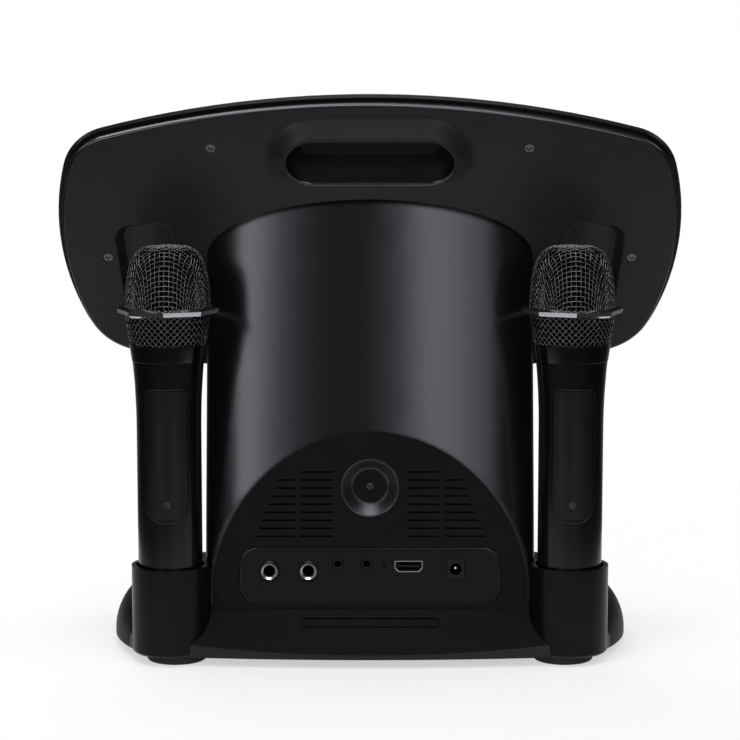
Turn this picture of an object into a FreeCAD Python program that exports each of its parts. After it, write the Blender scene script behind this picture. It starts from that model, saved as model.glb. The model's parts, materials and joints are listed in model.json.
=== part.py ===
"""Karaoke console: a screen head on a rounded column, a domed base and two wireless microphones.

Frame: millimetres, +Z up, the screen faces -Y, the sockets and the microphones face +Y.
The origin lies on the table, under the middle of the console.
"""
import FreeCAD, Part
import Sketcher
import math
import os

Vec = FreeCAD.Vector
ORIGIN = Vec(0, 0, 0)
AXIS_X = Vec(1, 0, 0)
AXIS_Y = Vec(0, 1, 0)
AXIS_Z = Vec(0, 0, 1)
SIDES = (("left", -1), ("right", 1))
SMALL_HEAD = "small_screw_head_radius"

# Driving sizes in millimetres, and angles in degrees
SIZES = {
    # Moulding and fits
    "wall": 2.4,
    "fit_gap": 0.2,
    "run_gap": 0.35,
    "edge_round": 1.2,
    # Base: plan outline of wide arcs, domed edge, sloping rear deck
    "base_half_width": 140.0,
    "base_rear": 75.0,
    "base_front": 78.7,
    "base_long_radius": 840.0,
    "base_side_radius": 100.0,
    "base_corner": 45.0,
    "base_height": 32.5,
    "base_round": 30.5,
    "deck_rise": 21.4,
    "deck_lip": 2.4,
    "deck_slot_length": 73.0,
    "deck_slot_width": 6.6,
    "deck_slot_depth": 0.6,
    "deck_slot_groove": 0.9,
    "deck_slot_corner": 1.6,
    "deck_slot_margin": 6.1,
    "opening_half_width": 74.0,
    "opening_rear": 40.0,
    "opening_front": 30.0,
    "plate_thick": 2.5,
    "foot_height": 4.6,
    "foot_radius": 15.7,
    "foot_aside": 37.5,
    "foot_front_y": 42.0,
    "base_screw_x": 62.0,
    "base_screw_rear_y": 61.0,
    "base_screw_front_y": 52.0,
    # Front control buttons, on a flat across the domed edge
    "facet_depth": 1.9,
    "button_radius": 5.0,
    "button_pitch": 24.0,
    "button_proud": 1.0,
    "button_travel": 0.8,
    "button_flange": 1.4,
    "button_flange_thick": 1.2,
    "control_board_gap": 1.3,
    "control_board_length": 84.0,
    "control_board_width": 16.0,
    # Microphone cups
    "cup_aside": 34.5,
    "cup_y": 52.0,
    "cup_outer_radius": 20.5,
    "cup_bore_radius": 18.2,
    "cup_floor": 6.0,
    "cup_height": 46.5,
    # Column: half ellipse behind, leaning forwards as it rises
    "column_half_width": 87.4,
    "column_bulge": 20.5,
    "column_lean": 11.6,
    "port_face_y": 50.0,
    "arch_height": 95.6,
    "arch_round": 3.8,
    "baffle_foot_y": 59.0,
    "baffle_head_depth": 14.0,
    "baffle_thick": 8.0,
    # Vents and screw well on the port face
    "vent_first": 39.3,
    "vent_pitch": 4.31,
    "vent_rows": 9,
    "vent_slot": 0.9,
    "vent_inner_start": 19.5,
    "vent_inner_end": 36.5,
    "vent_outer_start": 39.8,
    "vent_outer_end": 60.7,
    "vent_outer_step": 1.75,
    "well_rise": 65.4,
    "well_radius": 15.0,
    "well_floor_radius": 9.5,
    "well_depth": 5.5,
    "well_rim_round": 1.6,
    "well_floor_round": 2.0,
    # Port panel and its sockets, placed from the foot of the port face
    "panel_width": 138.0,
    "panel_height": 30.6,
    "panel_rise": 2.6,
    "panel_corner": 9.5,
    "panel_sink": 0.4,
    "panel_flange": 2.0,
    "panel_flange_thick": 1.6,
    "socket_depth": 22.0,
    "socket_centre_rise": 20.4,
    "board_thick": 1.6,
    "port_board_margin": 4.0,
    "mic_jack_outer_x": 53.4,
    "mic_jack_inner_x": 32.7,
    "mic_jack_thread_radius": 4.65,
    "mic_jack_bore_radius": 3.25,
    "mic_jack_nut_radius": 5.6,
    "mic_jack_mouth": 0.95,
    "mic_jack_proud": 1.2,
    "mic_jack_body": 15.0,
    "line_jack_outer_x": 17.1,
    "line_jack_inner_x": 1.7,
    "line_jack_lift": 3.9,
    "line_jack_radius": 2.9,
    "line_jack_bore_radius": 1.78,
    "line_jack_body": 9.0,
    "reset_x": 7.6,
    "reset_lift": 3.3,
    "reset_radius": 0.75,
    "reset_sink": 1.2,
    "reset_travel": 0.5,
    "hdmi_x": 20.5,
    "hdmi_lift": 2.6,
    "hdmi_width": 14.9,
    "hdmi_height": 6.1,
    "hdmi_wall": 0.5,
    "hdmi_tongue_width": 11.6,
    "hdmi_tongue_thick": 1.0,
    "hdmi_shoulder": 1.9,
    "dc_x": 45.4,
    "dc_lift": 1.1,
    "dc_width": 9.0,
    "dc_height": 10.9,
    "dc_bore_radius": 3.15,
    "dc_pin_radius": 1.05,
    # Woofer behind the front baffle
    "woofer_flange_radius": 44.0,
    "woofer_hole_radius": 37.0,
    "woofer_flange_thick": 3.0,
    "surround_width": 6.0,
    "surround_height": 3.0,
    "surround_skin": 0.8,
    "cone_depth": 16.0,
    "cone_skin": 0.9,
    "cone_travel": 1.5,
    "dust_cap_height": 4.0,
    "coil_radius": 12.0,
    "coil_length": 15.0,
    "coil_gap": 0.9,
    "basket_depth": 22.0,
    "basket_skin": 1.6,
    "magnet_radius": 29.0,
    "magnet_length": 20.0,
    "grille_radius": 43.0,
    "grille_thick": 1.6,
    "grille_hole_radius": 1.9,
    "grille_hole_pitch": 6.4,
    # Head: outline of four wide arcs and four corners, in its own leaning plane
    "head_rise": 216.3,
    "head_lean": 24.0,
    "head_top": 57.1,
    "head_top_radius": 530.0,
    "head_bottom": 113.9,
    "head_bottom_radius": 490.0,
    "head_half_width": 167.1,
    "head_side_radius": 138.0,
    "head_side_drop": 19.6,
    "head_upper_corner": 30.0,
    "head_lower_corner": 36.0,
    "head_thick": 22.0,
    "cover_inset": 2.8,
    "cover_thick": 5.5,
    "bezel_lip": 1.0,
    "bezel_widest": 8.0,
    "bezel_front_inset": 8.2,
    "bezel_front_round": 2.0,
    "glass_inset": 14.0,
    "lcd_thick": 3.4,
    "lcd_width": 208.0,
    "lcd_height": 122.0,
    "lcd_drop": 28.5,
    "frame_thick": 1.8,
    "frame_inset": 9.0,
    "head_board_width": 120.0,
    "head_board_height": 62.0,
    "head_board_drop": 52.0,
    "standoff_height": 4.0,
    "standoff_radius": 3.0,
    "boss_radius": 3.6,
    # Handle pocket and the hood over it
    "pocket_half_length": 43.3,
    "pocket_bottom": 9.0,
    "pocket_height": 26.6,
    "pocket_depth": 12.0,
    "pocket_end_slope": 6.0,
    "pocket_lower_slope": 11.3,
    "pocket_upper_slope": 1.5,
    "hood_spread": 9.0,
    "hood_lip": 2.0,
    "hood_height": 7.0,
    # Scoops behind the microphone heads
    "scoop_half_width": 15.5,
    "scoop_length": 64.0,
    "scoop_corner": 9.0,
    "scoop_depth": 5.0,
    "scoop_side": 4.0,
    "scoop_aside": 16.0,
    "scoop_drop": 15.0,
    "scoop_splay": 5.0,
    # Screws
    "screw_head_radius": 2.5,
    "small_screw_head_radius": 1.9,
    "screw_head_height": 1.6,
    "screw_shank_radius": 1.4,
    "screw_length": 9.0,
    "screw_recess_depth": 1.0,
    "screw_cross_width": 0.8,
    "screw_cross_share": 0.62,
    "head_screw_upper_rise": 29.2,
    "head_screw_side": 26.1,
    "head_screw_lower_drop": 35.8,
    "head_screw_sink": 0.9,
    # Microphone, heights from its foot
    "mic_radius": 16.95,
    "mic_wall": 2.0,
    "mic_foot_round": 1.0,
    "mic_flare": 36.0,
    "mic_handle": 149.0,
    "mic_shoulder_radius": 18.7,
    "mic_collar": 9.0,
    "mic_collar_low_radius": 18.95,
    "mic_collar_top_radius": 20.3,
    "mic_shelf": 2.4,
    "mic_shelf_bore": 5.0,
    "mic_basket": 14.9,
    "mic_basket_top_radius": 22.6,
    "mic_mesh": 1.0,
    "mic_ring": 4.4,
    "mic_ring_sides": 8,
    "mic_ring_lip": 0.15,
    "mic_ring_seat": 1.7,
    "mic_ring_proud": 1.9,
    "mic_ring_drop": 1.2,
    "mic_ring_foot": 1.0,
    "mic_ring_taper": 0.5,
    "mic_dome": 32.0,
    "mic_dome_radius": 22.7,
    "mic_dome_power": 0.2,
    "mic_foam_bore": 14.0,
    "mic_capsule_radius": 12.0,
    "mic_capsule_stem": 8.0,
    "mic_capsule_height": 13.0,
    "mic_door_drop": 14.5,
    "mic_door_length": 67.5,
    "mic_door_width": 21.0,
    "mic_door_corner": 3.4,
    "mic_door_foot_corner": 8.0,
    "mic_door_gap": 0.25,
    "mic_door_screw_rise": 7.5,
    "mic_battery_radius": 9.1,
    "mic_battery_length": 62.0,
    "mic_battery_gap": 0.4,
    "mic_board_offset": 8.0,
    "mic_board_low": 20.0,
    "mic_board_drop": 9.0,
    "mic_switch_drop": 25.0,
    "mic_switch_width": 7.0,
    "mic_switch_length": 13.0,
    "mic_switch_proud": 0.7,
    "mic_switch_travel": 0.8,
    "mic_switch_flange": 1.0,
    "mic_switch_flange_thick": 1.0,
}

# Sizes worked out from the driving ones, as formulas of the sheet
DERIVED = {
    "foot_x": "=base_half_width - foot_aside",
    "cup_x": "=base_half_width - cup_aside",
    "plate_top": "=foot_height + plate_thick",
    "base_top": "=foot_height + base_height",
    "deck_top": "=foot_height + deck_rise",
    "arch_top": "=deck_top + arch_height",
    "head_z": "=deck_top + head_rise",
    "head_y": "=port_face_y - (head_z - arch_top) * tan(column_lean)",
    "head_tilt": "=90 - head_lean",
    "cup_top": "=foot_height + cup_height",
    "mic_seat": "=foot_height + cup_floor",
    "cup_edge_radius": "=cup_outer_radius - edge_round",
    "foot_edge_top": "=foot_height + edge_round",
    "panel_low": "=deck_top + panel_rise",
    "socket_z": "=deck_top + socket_centre_rise",
    "panel_face_y": "=port_face_y - panel_sink",
    "panel_back_y": "=port_face_y - wall - panel_flange_thick",
    "port_board_y": "=panel_back_y - socket_depth",
    "socket_reach": "=panel_face_y - port_board_y",
    "mic_jack_length": "=socket_depth",
    "nut_reach": "=socket_reach + mic_jack_proud",
    "line_jack_reach": "=socket_reach + fit_gap",
    "reset_reach": "=socket_reach - reset_sink",
    "cone_radius": "=woofer_hole_radius - surround_width",
    "coil_outer_radius": "=coil_radius + cone_skin",
    "coil_end": "=cone_depth + coil_length",
    "pole_radius": "=coil_radius - coil_gap",
    "gap_radius": "=coil_outer_radius + coil_gap",
    "magnet_start": "=basket_depth + basket_skin",
    "magnet_end": "=magnet_start + magnet_length",
    "collar_top": "=mic_handle + mic_collar",
    "shelf_top": "=mic_handle + mic_shelf",
    "collar_bore": "=mic_collar_low_radius - mic_wall",
    "ring_low": "=collar_top + mic_basket",
    "ring_high": "=ring_low + mic_ring",
    "ring_share": "=cos(180 / mic_ring_sides)",
    "ring_foot_radius": "=(mic_basket_top_radius + mic_ring_lip) / ring_share",
    "ring_top_radius": "=(mic_dome_radius + mic_ring_lip) / ring_share",
    "ring_radius": "=ring_top_radius + mic_ring_proud",
    "ring_bore": "=mic_dome_radius - mic_ring_seat",
    "basket_low_inner": "=mic_collar_top_radius - mic_mesh",
    "basket_top_inner": "=mic_basket_top_radius - mic_mesh",
    "capsule_low": "=ring_high - mic_capsule_height / 2",
    "capsule_high": "=ring_high + mic_capsule_height / 2",
    "head_low_z": "=head_z - head_bottom * cos(head_lean) + baffle_head_depth * sin(head_lean)",
    "head_low_y": "=head_y - head_bottom * sin(head_lean) - baffle_head_depth * cos(head_lean)",
    "baffle_run": "=head_low_y + baffle_foot_y",
    "baffle_climb": "=head_low_z - base_top",
    "reach": "=4 * base_half_width",
    "half_edge": "=edge_round / 2",
    "quarter_edge": "=edge_round / 4",
    "foot_flat": "=foot_radius - half_edge",
    "button_flat": "=button_radius - half_edge",
    "button_flange_radius": "=button_radius + button_flange",
    "button_shoulder": "=button_proud + wall + fit_gap",
    "button_end": "=button_shoulder + button_flange_thick",
    "control_board_depth": "=wall + button_flange_thick + fit_gap + button_travel + control_board_gap",
    "control_switch_radius": "=button_radius / 2",
    "control_switch_rise": "=control_board_gap - fit_gap",
    "basket_top_radius": "=woofer_hole_radius + basket_skin",
    "basket_foot_radius": "=magnet_radius - basket_skin",
    "coil_groove": "=coil_end + cone_travel + 2 * coil_gap",
    "nut_edge": "=nut_reach - half_edge",
    "nut_flat": "=mic_jack_nut_radius - half_edge",
    "nut_mouth": "=mic_jack_bore_radius + mic_jack_mouth",
    "nut_throat": "=nut_reach - mic_jack_mouth",
    "line_jack_edge": "=line_jack_reach - quarter_edge",
    "line_jack_flat": "=line_jack_radius - quarter_edge",
    "line_jack_mouth": "=line_jack_bore_radius + quarter_edge",
    "hdmi_floor": "=2 * hdmi_wall",
    "hdmi_tongue_length": "=socket_reach - 2 * hdmi_floor",
    "dc_floor": "=2 * board_thick",
    "dc_pin_tip": "=socket_reach - dc_bore_radius",
    "dc_pin_tip_radius": "=dc_pin_radius / 2",
    "dc_pin_edge": "=dc_pin_tip - dc_pin_tip_radius",
    "reset_low": "=reset_travel + run_gap + board_thick",
    "reset_collar": "=2 * reset_radius",
    "reset_collar_top": "=mic_jack_length - run_gap",
    "reset_switch_radius": "=1.5 * reset_radius",
    "port_board_width": "=panel_width - 2 * port_board_margin",
    "port_board_low": "=panel_low + 2 * port_board_margin",
    "port_board_height": "=panel_height - port_board_margin",
    "pocket_top": "=pocket_bottom + pocket_height",
    "scoop_x": "=cup_x + scoop_aside",
    "head_screw_upper_x": "=head_half_width / 2",
    "head_screw_lower_x": "=head_half_width - head_screw_side",
    "mic_bore": "=mic_radius - mic_wall",
    "mic_straight": "=mic_handle - mic_flare",
    "mic_door_high": "=mic_handle - mic_door_drop",
    "mic_door_low": "=mic_door_high - mic_door_length",
    "mic_board_high": "=mic_handle - mic_board_drop",
    "mic_board_length": "=mic_board_high - mic_board_low",
    "mic_board_half": "=sqrt(mic_bore ^ 2 - (mic_board_offset + board_thick) ^ 2) - fit_gap",
    "mic_board_width": "=2 * mic_board_half",
    "mic_switch_rise": "=mic_handle - mic_switch_drop",
    "switch_flange_half": "=mic_switch_width / 2 + mic_switch_flange",
    "switch_flange_y": "=run_gap - sqrt(mic_bore ^ 2 - switch_flange_half ^ 2)",
    "switch_back_y": "=switch_flange_y + mic_switch_flange_thick",
    "switch_stem_y": "=switch_back_y + mic_switch_travel + run_gap",
    "switch_stem": "=-mic_board_offset - board_thick - switch_stem_y",
    "switch_stem_radius": "=mic_switch_width / 3",
    "cell_flat": "=mic_battery_radius - half_edge",
    "cell_edge": "=mic_battery_length - half_edge",
    "cell_y": "=mic_bore - mic_battery_gap - mic_battery_radius",
    "cell_low": "=(mic_door_low + mic_door_high - mic_battery_length) / 2",
}

doc = FreeCAD.newDocument("karaoke_machine")
sheet = doc.addObject("Spreadsheet::Sheet", "Sizes")
parts = []


def fill_sheet():
    """Writes every size into the sheet under its own name."""
    row = 0
    for name, value in list(SIZES.items()) + list(DERIVED.items()):
        row += 1
        sheet.set(f"A{row}", name)
        sheet.set(f"B{row}", str(value))
        sheet.setAlias(f"B{row}", name)
    doc.recompute()


def num(name):
    """Value of a size, read from the sheet."""
    return float(getattr(sheet, name))


# Building blocks

def keep(item, label):
    """Names a sub-part and puts it on the list that is written out."""
    item.Label = label
    parts.append(item)
    return item


def shaped(label, shape, place=None):
    """Sub-part from a finished shape, with its placement."""
    item = doc.addObject("Part::Feature", label)
    item.Shape = shape
    if place is not None:
        item.Placement = place
    return keep(item, label)


def draw_profile(sketch, corners):
    """Closed polygon whose corners are tied to sizes; 0 lies on the axis itself."""
    count = len(corners)
    values = []
    for across, up in corners:
        values.append(Vec(num(across) if across else 0, num(up) if up else 0, 0))
    for index in range(count):
        sketch.addGeometry(Part.LineSegment(values[index], values[(index + 1) % count]))
    for index in range(count):
        sketch.addConstraint(Sketcher.Constraint("Coincident", index, 2, (index + 1) % count, 1))
    for index, (across, up) in enumerate(corners):
        for kind, name, axis in (("DistanceX", across, -2), ("DistanceY", up, -1)):
            if not name:
                sketch.addConstraint(Sketcher.Constraint("PointOnObject", index, 1, axis))
                continue
            value = values[index].x if kind == "DistanceX" else values[index].y
            tie = sketch.addConstraint(Sketcher.Constraint(kind, -1, 1, index, 1, value))
            sketch.setExpression(f"Constraints[{tie}]", f"Sizes.{name}")


def lathe(label, corners, place=None, ties=None):
    """Body turned about its Z axis from corners of (radius, height)."""
    body = doc.addObject("PartDesign::Body", label)
    planes = {plane.Role: plane for plane in body.Origin.OriginFeatures}
    sketch = body.newObject("Sketcher::SketchObject", label + "_profile")
    sketch.AttachmentSupport = (planes["XZ_Plane"], [""])
    sketch.MapMode = "FlatFace"
    draw_profile(sketch, corners)
    turn = body.newObject("PartDesign::Revolution", label + "_turn")
    turn.Profile = sketch
    turn.ReferenceAxis = (sketch, ["V_Axis"])
    turn.Angle = 360
    if place is not None:
        body.Placement = place
    for path, formula in (ties or {}).items():
        body.setExpression(path, formula)
    return body


def turned(label, corners, place=None, ties=None):
    """Sub-part that is one turned body."""
    return keep(lathe(label, corners, place, ties), label)


def bound(kind, label, ties, place):
    """Simple solid with its sizes tied to the sheet."""
    item = doc.addObject(kind, label)
    item.Placement = place
    for path, name in ties.items():
        item.setExpression(path, f"Sizes.{name}")
    return item


def slab(label, sizes, place):
    """Box of three sizes, centred on its placement across X and Y and rising along Z."""
    length, width, height = sizes
    corner = shifted(-num(length) / 2, -num(width) / 2, 0)
    return bound("Part::Box", label, {"Length": length, "Width": width, "Height": height}, place.multiply(corner))


def rod(label, radius, height, place):
    """Cylinder of two sizes, rising along Z from its placement."""
    return bound("Part::Cylinder", label, {"Radius": radius, "Height": height}, place)


def hollowed(label, solid, space):
    """Solid less a space inside it."""
    item = doc.addObject("Part::Cut", label)
    item.Base = solid
    item.Tool = space
    return item


def joined(label, pieces):
    """Sub-part of several solids that make one piece."""
    item = doc.addObject("Part::MultiFuse", label)
    item.Shapes = pieces
    return keep(item, label)


def grouped(label, pieces):
    """Sub-part of several solids alike."""
    item = doc.addObject("Part::Compound", label)
    item.Links = pieces
    return keep(item, label)


def spun(edges):
    """Solid turned about Z from edges that close on the axis or on themselves."""
    return Part.Face(Part.Wire(edges)).revolve(ORIGIN, AXIS_Z, 360)


def line(start, end):
    """Straight edge in the XZ plane, from (radius, height) pairs."""
    return Part.LineSegment(Vec(start[0], 0, start[1]), Vec(end[0], 0, end[1])).toShape()


def chain(points):
    """Straight edges through (radius, height) pairs."""
    return [line(start, end) for start, end in zip(points, points[1:])]


def tube(radius, length, base, direction):
    """Cylinder from a base point along a direction."""
    return Part.makeCylinder(radius, length, base, direction)


def block(x_range, y_range, z_range):
    """Box between pairs of limits."""
    low = Vec(x_range[0], y_range[0], z_range[0])
    return Part.makeBox(x_range[1] - x_range[0], y_range[1] - y_range[0], z_range[1] - z_range[0], low)


def stadium(half_length, low, high, height):
    """Wire of a slot with round ends, across X, between two Y limits."""
    radius = (high - low) / 2
    middle = (high + low) / 2
    end = half_length - radius
    corners = [Vec(-end, low, height), Vec(end, low, height), Vec(end, high, height), Vec(-end, high, height)]
    right = Part.Arc(corners[1], Vec(half_length, middle, height), corners[2]).toShape()
    left = Part.Arc(corners[3], Vec(-half_length, middle, height), corners[0]).toShape()
    lower = Part.LineSegment(corners[0], corners[1]).toShape()
    upper = Part.LineSegment(corners[2], corners[3]).toShape()
    return Part.Wire([lower, right, upper, left])


def rounded_wire(half_length, half_width, corner, height):
    """Wire of a rectangle with round corners, centred on Z."""
    end = half_length - corner
    side = half_width - corner
    slant = corner * math.sqrt(0.5)
    edges = []
    for quarter in range(4):
        along, across = ((end, side), (side, end))[quarter % 2]
        start = Vec(along + corner, across, height)
        middle = Vec(along + slant, across + slant, height)
        finish = Vec(along, across + corner, height)
        after = Vec(-along, across + corner, height)
        for edge in (Part.Arc(start, middle, finish), Part.LineSegment(finish, after)):
            shape = edge.toShape()
            shape.rotate(ORIGIN, AXIS_Z, 90 * quarter)
            edges.append(shape)
    return Part.Wire(edges)


def rounded_box(width, height, corner, depth):
    """Block with four round upright corners, centred on Z and rising from Z = 0."""
    box = Part.makeBox(width, height, depth, Vec(-width / 2, -height / 2, 0))
    upright = [edge for edge in box.Edges if abs(edge.tangentAt(edge.FirstParameter).z) > 0.9]
    return box.makeFillet(corner, upright)


def beyond(point, normal):
    """Large block on the far side of a plane."""
    size = num("reach")
    half = Part.makeBox(size, size, size, Vec(-size / 2, -size / 2, 0))
    half.Placement = FreeCAD.Placement(point, FreeCAD.Rotation(AXIS_Z, normal))
    return half


def tilted(point, angle):
    """Placement turned about X by an angle in degrees."""
    return FreeCAD.Placement(point, FreeCAD.Rotation(AXIS_X, angle))


def shifted(x, y, z):
    """Placement moved without a turn."""
    return FreeCAD.Placement(Vec(x, y, z), FreeCAD.Rotation())


def flipped(z):
    """Placement at a height with its Z axis turned over."""
    return tilted(Vec(0, 0, z), 180)


def placed(shape, place):
    """Copy of a shape moved to a placement."""
    copy = shape.copy()
    copy.Placement = place.multiply(copy.Placement)
    return copy


# Outlines of wide arcs, for the base plan and the head

def meeting_centre(first, first_reach, second, second_reach):
    """Centre of a corner arc: the right-hand meeting point of two circles."""
    across = second - first
    span = across.Length
    along = (first_reach ** 2 - second_reach ** 2 + span ** 2) / (2 * span)
    aside = math.sqrt(first_reach ** 2 - along ** 2)
    foot = first + across * (along / span)
    normal = Vec(across.y, -across.x, 0) * (aside / span)
    options = [foot + normal, foot - normal]
    return max(options, key=lambda point: point.x)


def wide_outline(arcs, inset, height):
    """Closed wire, symmetric about X = 0, of four wide arcs joined by tangent corner arcs."""
    side = Vec(arcs["side"] - arcs["side_radius"], arcs["side_y"], 0)
    side_radius = arcs["side_radius"] - inset
    half = []
    for end, sign in (("upper", 1), ("lower", -1)):
        wide_radius = arcs[end + "_radius"]
        corner_radius = arcs[end + "_corner"]
        wide = Vec(0, arcs[end] - sign * wide_radius, 0)
        corner = meeting_centre(wide, wide_radius - corner_radius, side, arcs["side_radius"] - corner_radius)
        to_wide = (corner - wide).normalize()
        to_side = (corner - side).normalize()
        start = wide + to_wide * (wide_radius - inset)
        finish = side + to_side * side_radius
        middle = corner + (to_wide + to_side).normalize() * (corner_radius - inset)
        half.append((start, middle, finish, Vec(0, arcs[end] - sign * inset, 0)))
    (up_start, up_middle, up_finish, up_apex), (low_start, low_middle, low_finish, low_apex) = half
    side_apex = side + AXIS_X * side_radius
    right = [(up_start, up_middle, up_finish), (up_finish, side_apex, low_finish),
             (low_finish, low_middle, low_start)]
    triples = list(right)
    triples.append((low_start, low_apex, mirrored(low_start)))
    for first, middle, last in reversed(right):
        triples.append((mirrored(last), mirrored(middle), mirrored(first)))
    triples.append((mirrored(up_start), up_apex, up_start))
    lift = AXIS_Z * height
    edges = [Part.Arc(a + lift, b + lift, c + lift).toShape() for a, b, c in triples]
    return Part.Wire(edges)


def mirrored(point):
    """Point on the other side of the middle plane."""
    return Vec(-point.x, point.y, point.z)


def base_arcs():
    """Plan of the base."""
    return {
        "upper": num("base_rear"), "upper_radius": num("base_long_radius"),
        "lower": -num("base_front"), "lower_radius": num("base_long_radius"),
        "side": num("base_half_width"), "side_radius": num("base_side_radius"), "side_y": 0,
        "upper_corner": num("base_corner"), "lower_corner": num("base_corner"),
    }


def head_arcs():
    """Widest outline of the head, in its own plane."""
    return {
        "upper": num("head_top"), "upper_radius": num("head_top_radius"),
        "lower": -num("head_bottom"), "lower_radius": num("head_bottom_radius"),
        "side": num("head_half_width"), "side_radius": num("head_side_radius"),
        "side_y": -num("head_side_drop"),
        "upper_corner": num("head_upper_corner"), "lower_corner": num("head_lower_corner"),
    }


# Places of the leaning pieces

def head_place():
    """Head plane: X across, Y up the plane, Z into the head from its back face."""
    return tilted(Vec(0, num("head_y"), num("head_z")), num("head_tilt"))


def baffle_angle():
    """Lean of the front baffle from the upright, in degrees."""
    return math.degrees(math.atan2(num("baffle_run"), num("baffle_climb")))


def baffle_normal():
    """Direction that the front baffle faces."""
    lean = math.radians(baffle_angle())
    return Vec(0, -math.cos(lean), math.sin(lean))


def baffle_middle():
    """Middle of the baffle's front face, between the base and the head."""
    return Vec(0, num("baffle_run") / 2 - num("baffle_foot_y"), num("base_top") + num("baffle_climb") / 2)


def woofer_place():
    """Woofer axis: Z forwards out of the baffle, from the baffle's back face."""
    back = baffle_middle() - baffle_normal() * num("baffle_thick")
    return tilted(back, 90 - baffle_angle())


def facet_normal():
    """Direction that the control buttons face."""
    return Vec(0, -1, 1).normalize()


def facet_middle():
    """Middle of the flat that carries the control buttons."""
    round_radius = num("base_round")
    centre = Vec(0, round_radius - num("base_front"), num("base_top") - round_radius)
    return centre + facet_normal() * (round_radius - num("facet_depth"))


def facet_place():
    """Button axis: Z out of the flat, X across it."""
    return tilted(facet_middle(), 45)


# Screws, shared by every screwed joint

def screw(head_size="screw_head_radius"):
    """Pan-head screw on Z, its head's outer face at Z = 0 and its shank below."""
    head = num(head_size)
    high = num("screw_head_height")
    cross = num("screw_cross_width")
    body = tube(head, high, Vec(0, 0, -high), AXIS_Z)
    body = body.fuse(tube(num("screw_shank_radius"), num("screw_length"), ORIGIN, -AXIS_Z))
    body = body.removeSplitter()
    long = num("screw_cross_share") * head
    deep = num("screw_recess_depth")
    arm = block((-long, long), (-cross / 2, cross / 2), (-deep, deep))
    other = block((-cross / 2, cross / 2), (-long, long), (-deep, deep))
    return body.cut(arm.fuse(other))


def screw_hole(depth, head_size="screw_head_radius"):
    """Space that a screw takes up with its clearance, and the well above it."""
    gap = num("fit_gap")
    head = num(head_size) + gap
    high = num("screw_head_height")
    well = tube(head, high + depth, Vec(0, 0, -high), AXIS_Z)
    return well.fuse(tube(num("screw_shank_radius") + gap, num("screw_length") + gap, ORIGIN, -AXIS_Z))


def facing(point, normal):
    """Placement that turns Z to a direction."""
    return FreeCAD.Placement(point, FreeCAD.Rotation(AXIS_Z, normal))


# Base

def base_dome(grow):
    """Outer body of the base, its surface moved outwards by a distance."""
    low = num("foot_height")
    top = num("base_top") + grow
    outline = wide_outline(base_arcs(), -grow, low)
    dome = Part.Face(outline).extrude(Vec(0, 0, top - low))
    rim = [edge for edge in dome.Edges if all(abs(corner.Z - top) < 0.01 for corner in edge.Vertexes)]
    round_radius = min(num("base_round"), 0.95 * num("base_height"), 0.9 * num("base_corner"))
    dome = dome.makeFillet(round_radius + grow, rim)
    dome = dome.cut(beyond(deck_point() + deck_normal() * grow, deck_normal()))
    return dome.cut(beyond(facet_middle() + facet_normal() * grow, facet_normal()))


def deck_point():
    """Where the rear deck meets the port face."""
    return Vec(0, num("port_face_y"), num("deck_top"))


def deck_normal():
    """Upward normal of the sloping rear deck."""
    run = num("base_rear") - num("port_face_y")
    fall = num("deck_rise") - num("deck_lip")
    return Vec(0, fall, run).normalize()


def cup_spaces(gap):
    """Both cups with a clearance around them."""
    spaces = []
    for _, sign in SIDES:
        base = Vec(sign * num("cup_x"), num("cup_y"), 0)
        spaces.append(tube(num("cup_outer_radius") + gap, num("cup_top"), base, AXIS_Z))
    return spaces


def base_screw_points():
    """Four screws that hold the base plate, seen from below."""
    points = []
    for _, sign in SIDES:
        points.append(Vec(sign * num("base_screw_x"), num("base_screw_rear_y"), num("foot_height")))
        points.append(Vec(sign * num("base_screw_x"), -num("base_screw_front_y"), num("foot_height")))
    return points


def button_xs():
    """Places of the three control buttons along the flat."""
    return [step * num("button_pitch") for step in (-1, 0, 1)]


def make_base_cover():
    """Domed cover with the rear deck, cut out for the cups, the column and the buttons."""
    wall = num("wall")
    outer = base_dome(0)
    inner = base_dome(-wall)
    cover = outer.cut(inner)
    posts = []
    for point in base_screw_points():
        up = Vec(point.x, point.y, num("plate_top"))
        posts.append(tube(num("boss_radius"), num("base_height"), up, AXIS_Z))
    post_x = num("control_board_length") / 2 - num("standoff_radius")
    deep = num("control_board_depth")
    for sign in (-1, 1):
        post = tube(num("standoff_radius"), deep, Vec(sign * post_x, 0, -deep), AXIS_Z)
        posts.append(placed(post, facet_place()))
    for post in posts:
        cover = cover.fuse(post.common(outer))
    cuts = cup_spaces(num("fit_gap"))
    half = num("opening_half_width")
    cuts.append(block((-half, half), (-num("opening_front"), num("opening_rear")), (wall, num("reach"))))
    hole = num("button_radius") + num("run_gap")
    for x in button_xs():
        cuts.append(placed(tube(hole, 2 * wall, Vec(x, 0, -1.5 * wall), AXIS_Z), facet_place()))
    for point in base_screw_points():
        cuts.append(placed(screw_hole(0), facing(point, -AXIS_Z)))
    cuts.append(deck_slot())
    for cut in cuts:
        cover = cover.cut(cut)
    shaped("base_cover", largest(cover))


def largest(shape):
    """Biggest solid of a shape, without offcuts that a cut leaves loose."""
    return max(shape.Solids, key=lambda solid: solid.Volume)


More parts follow.
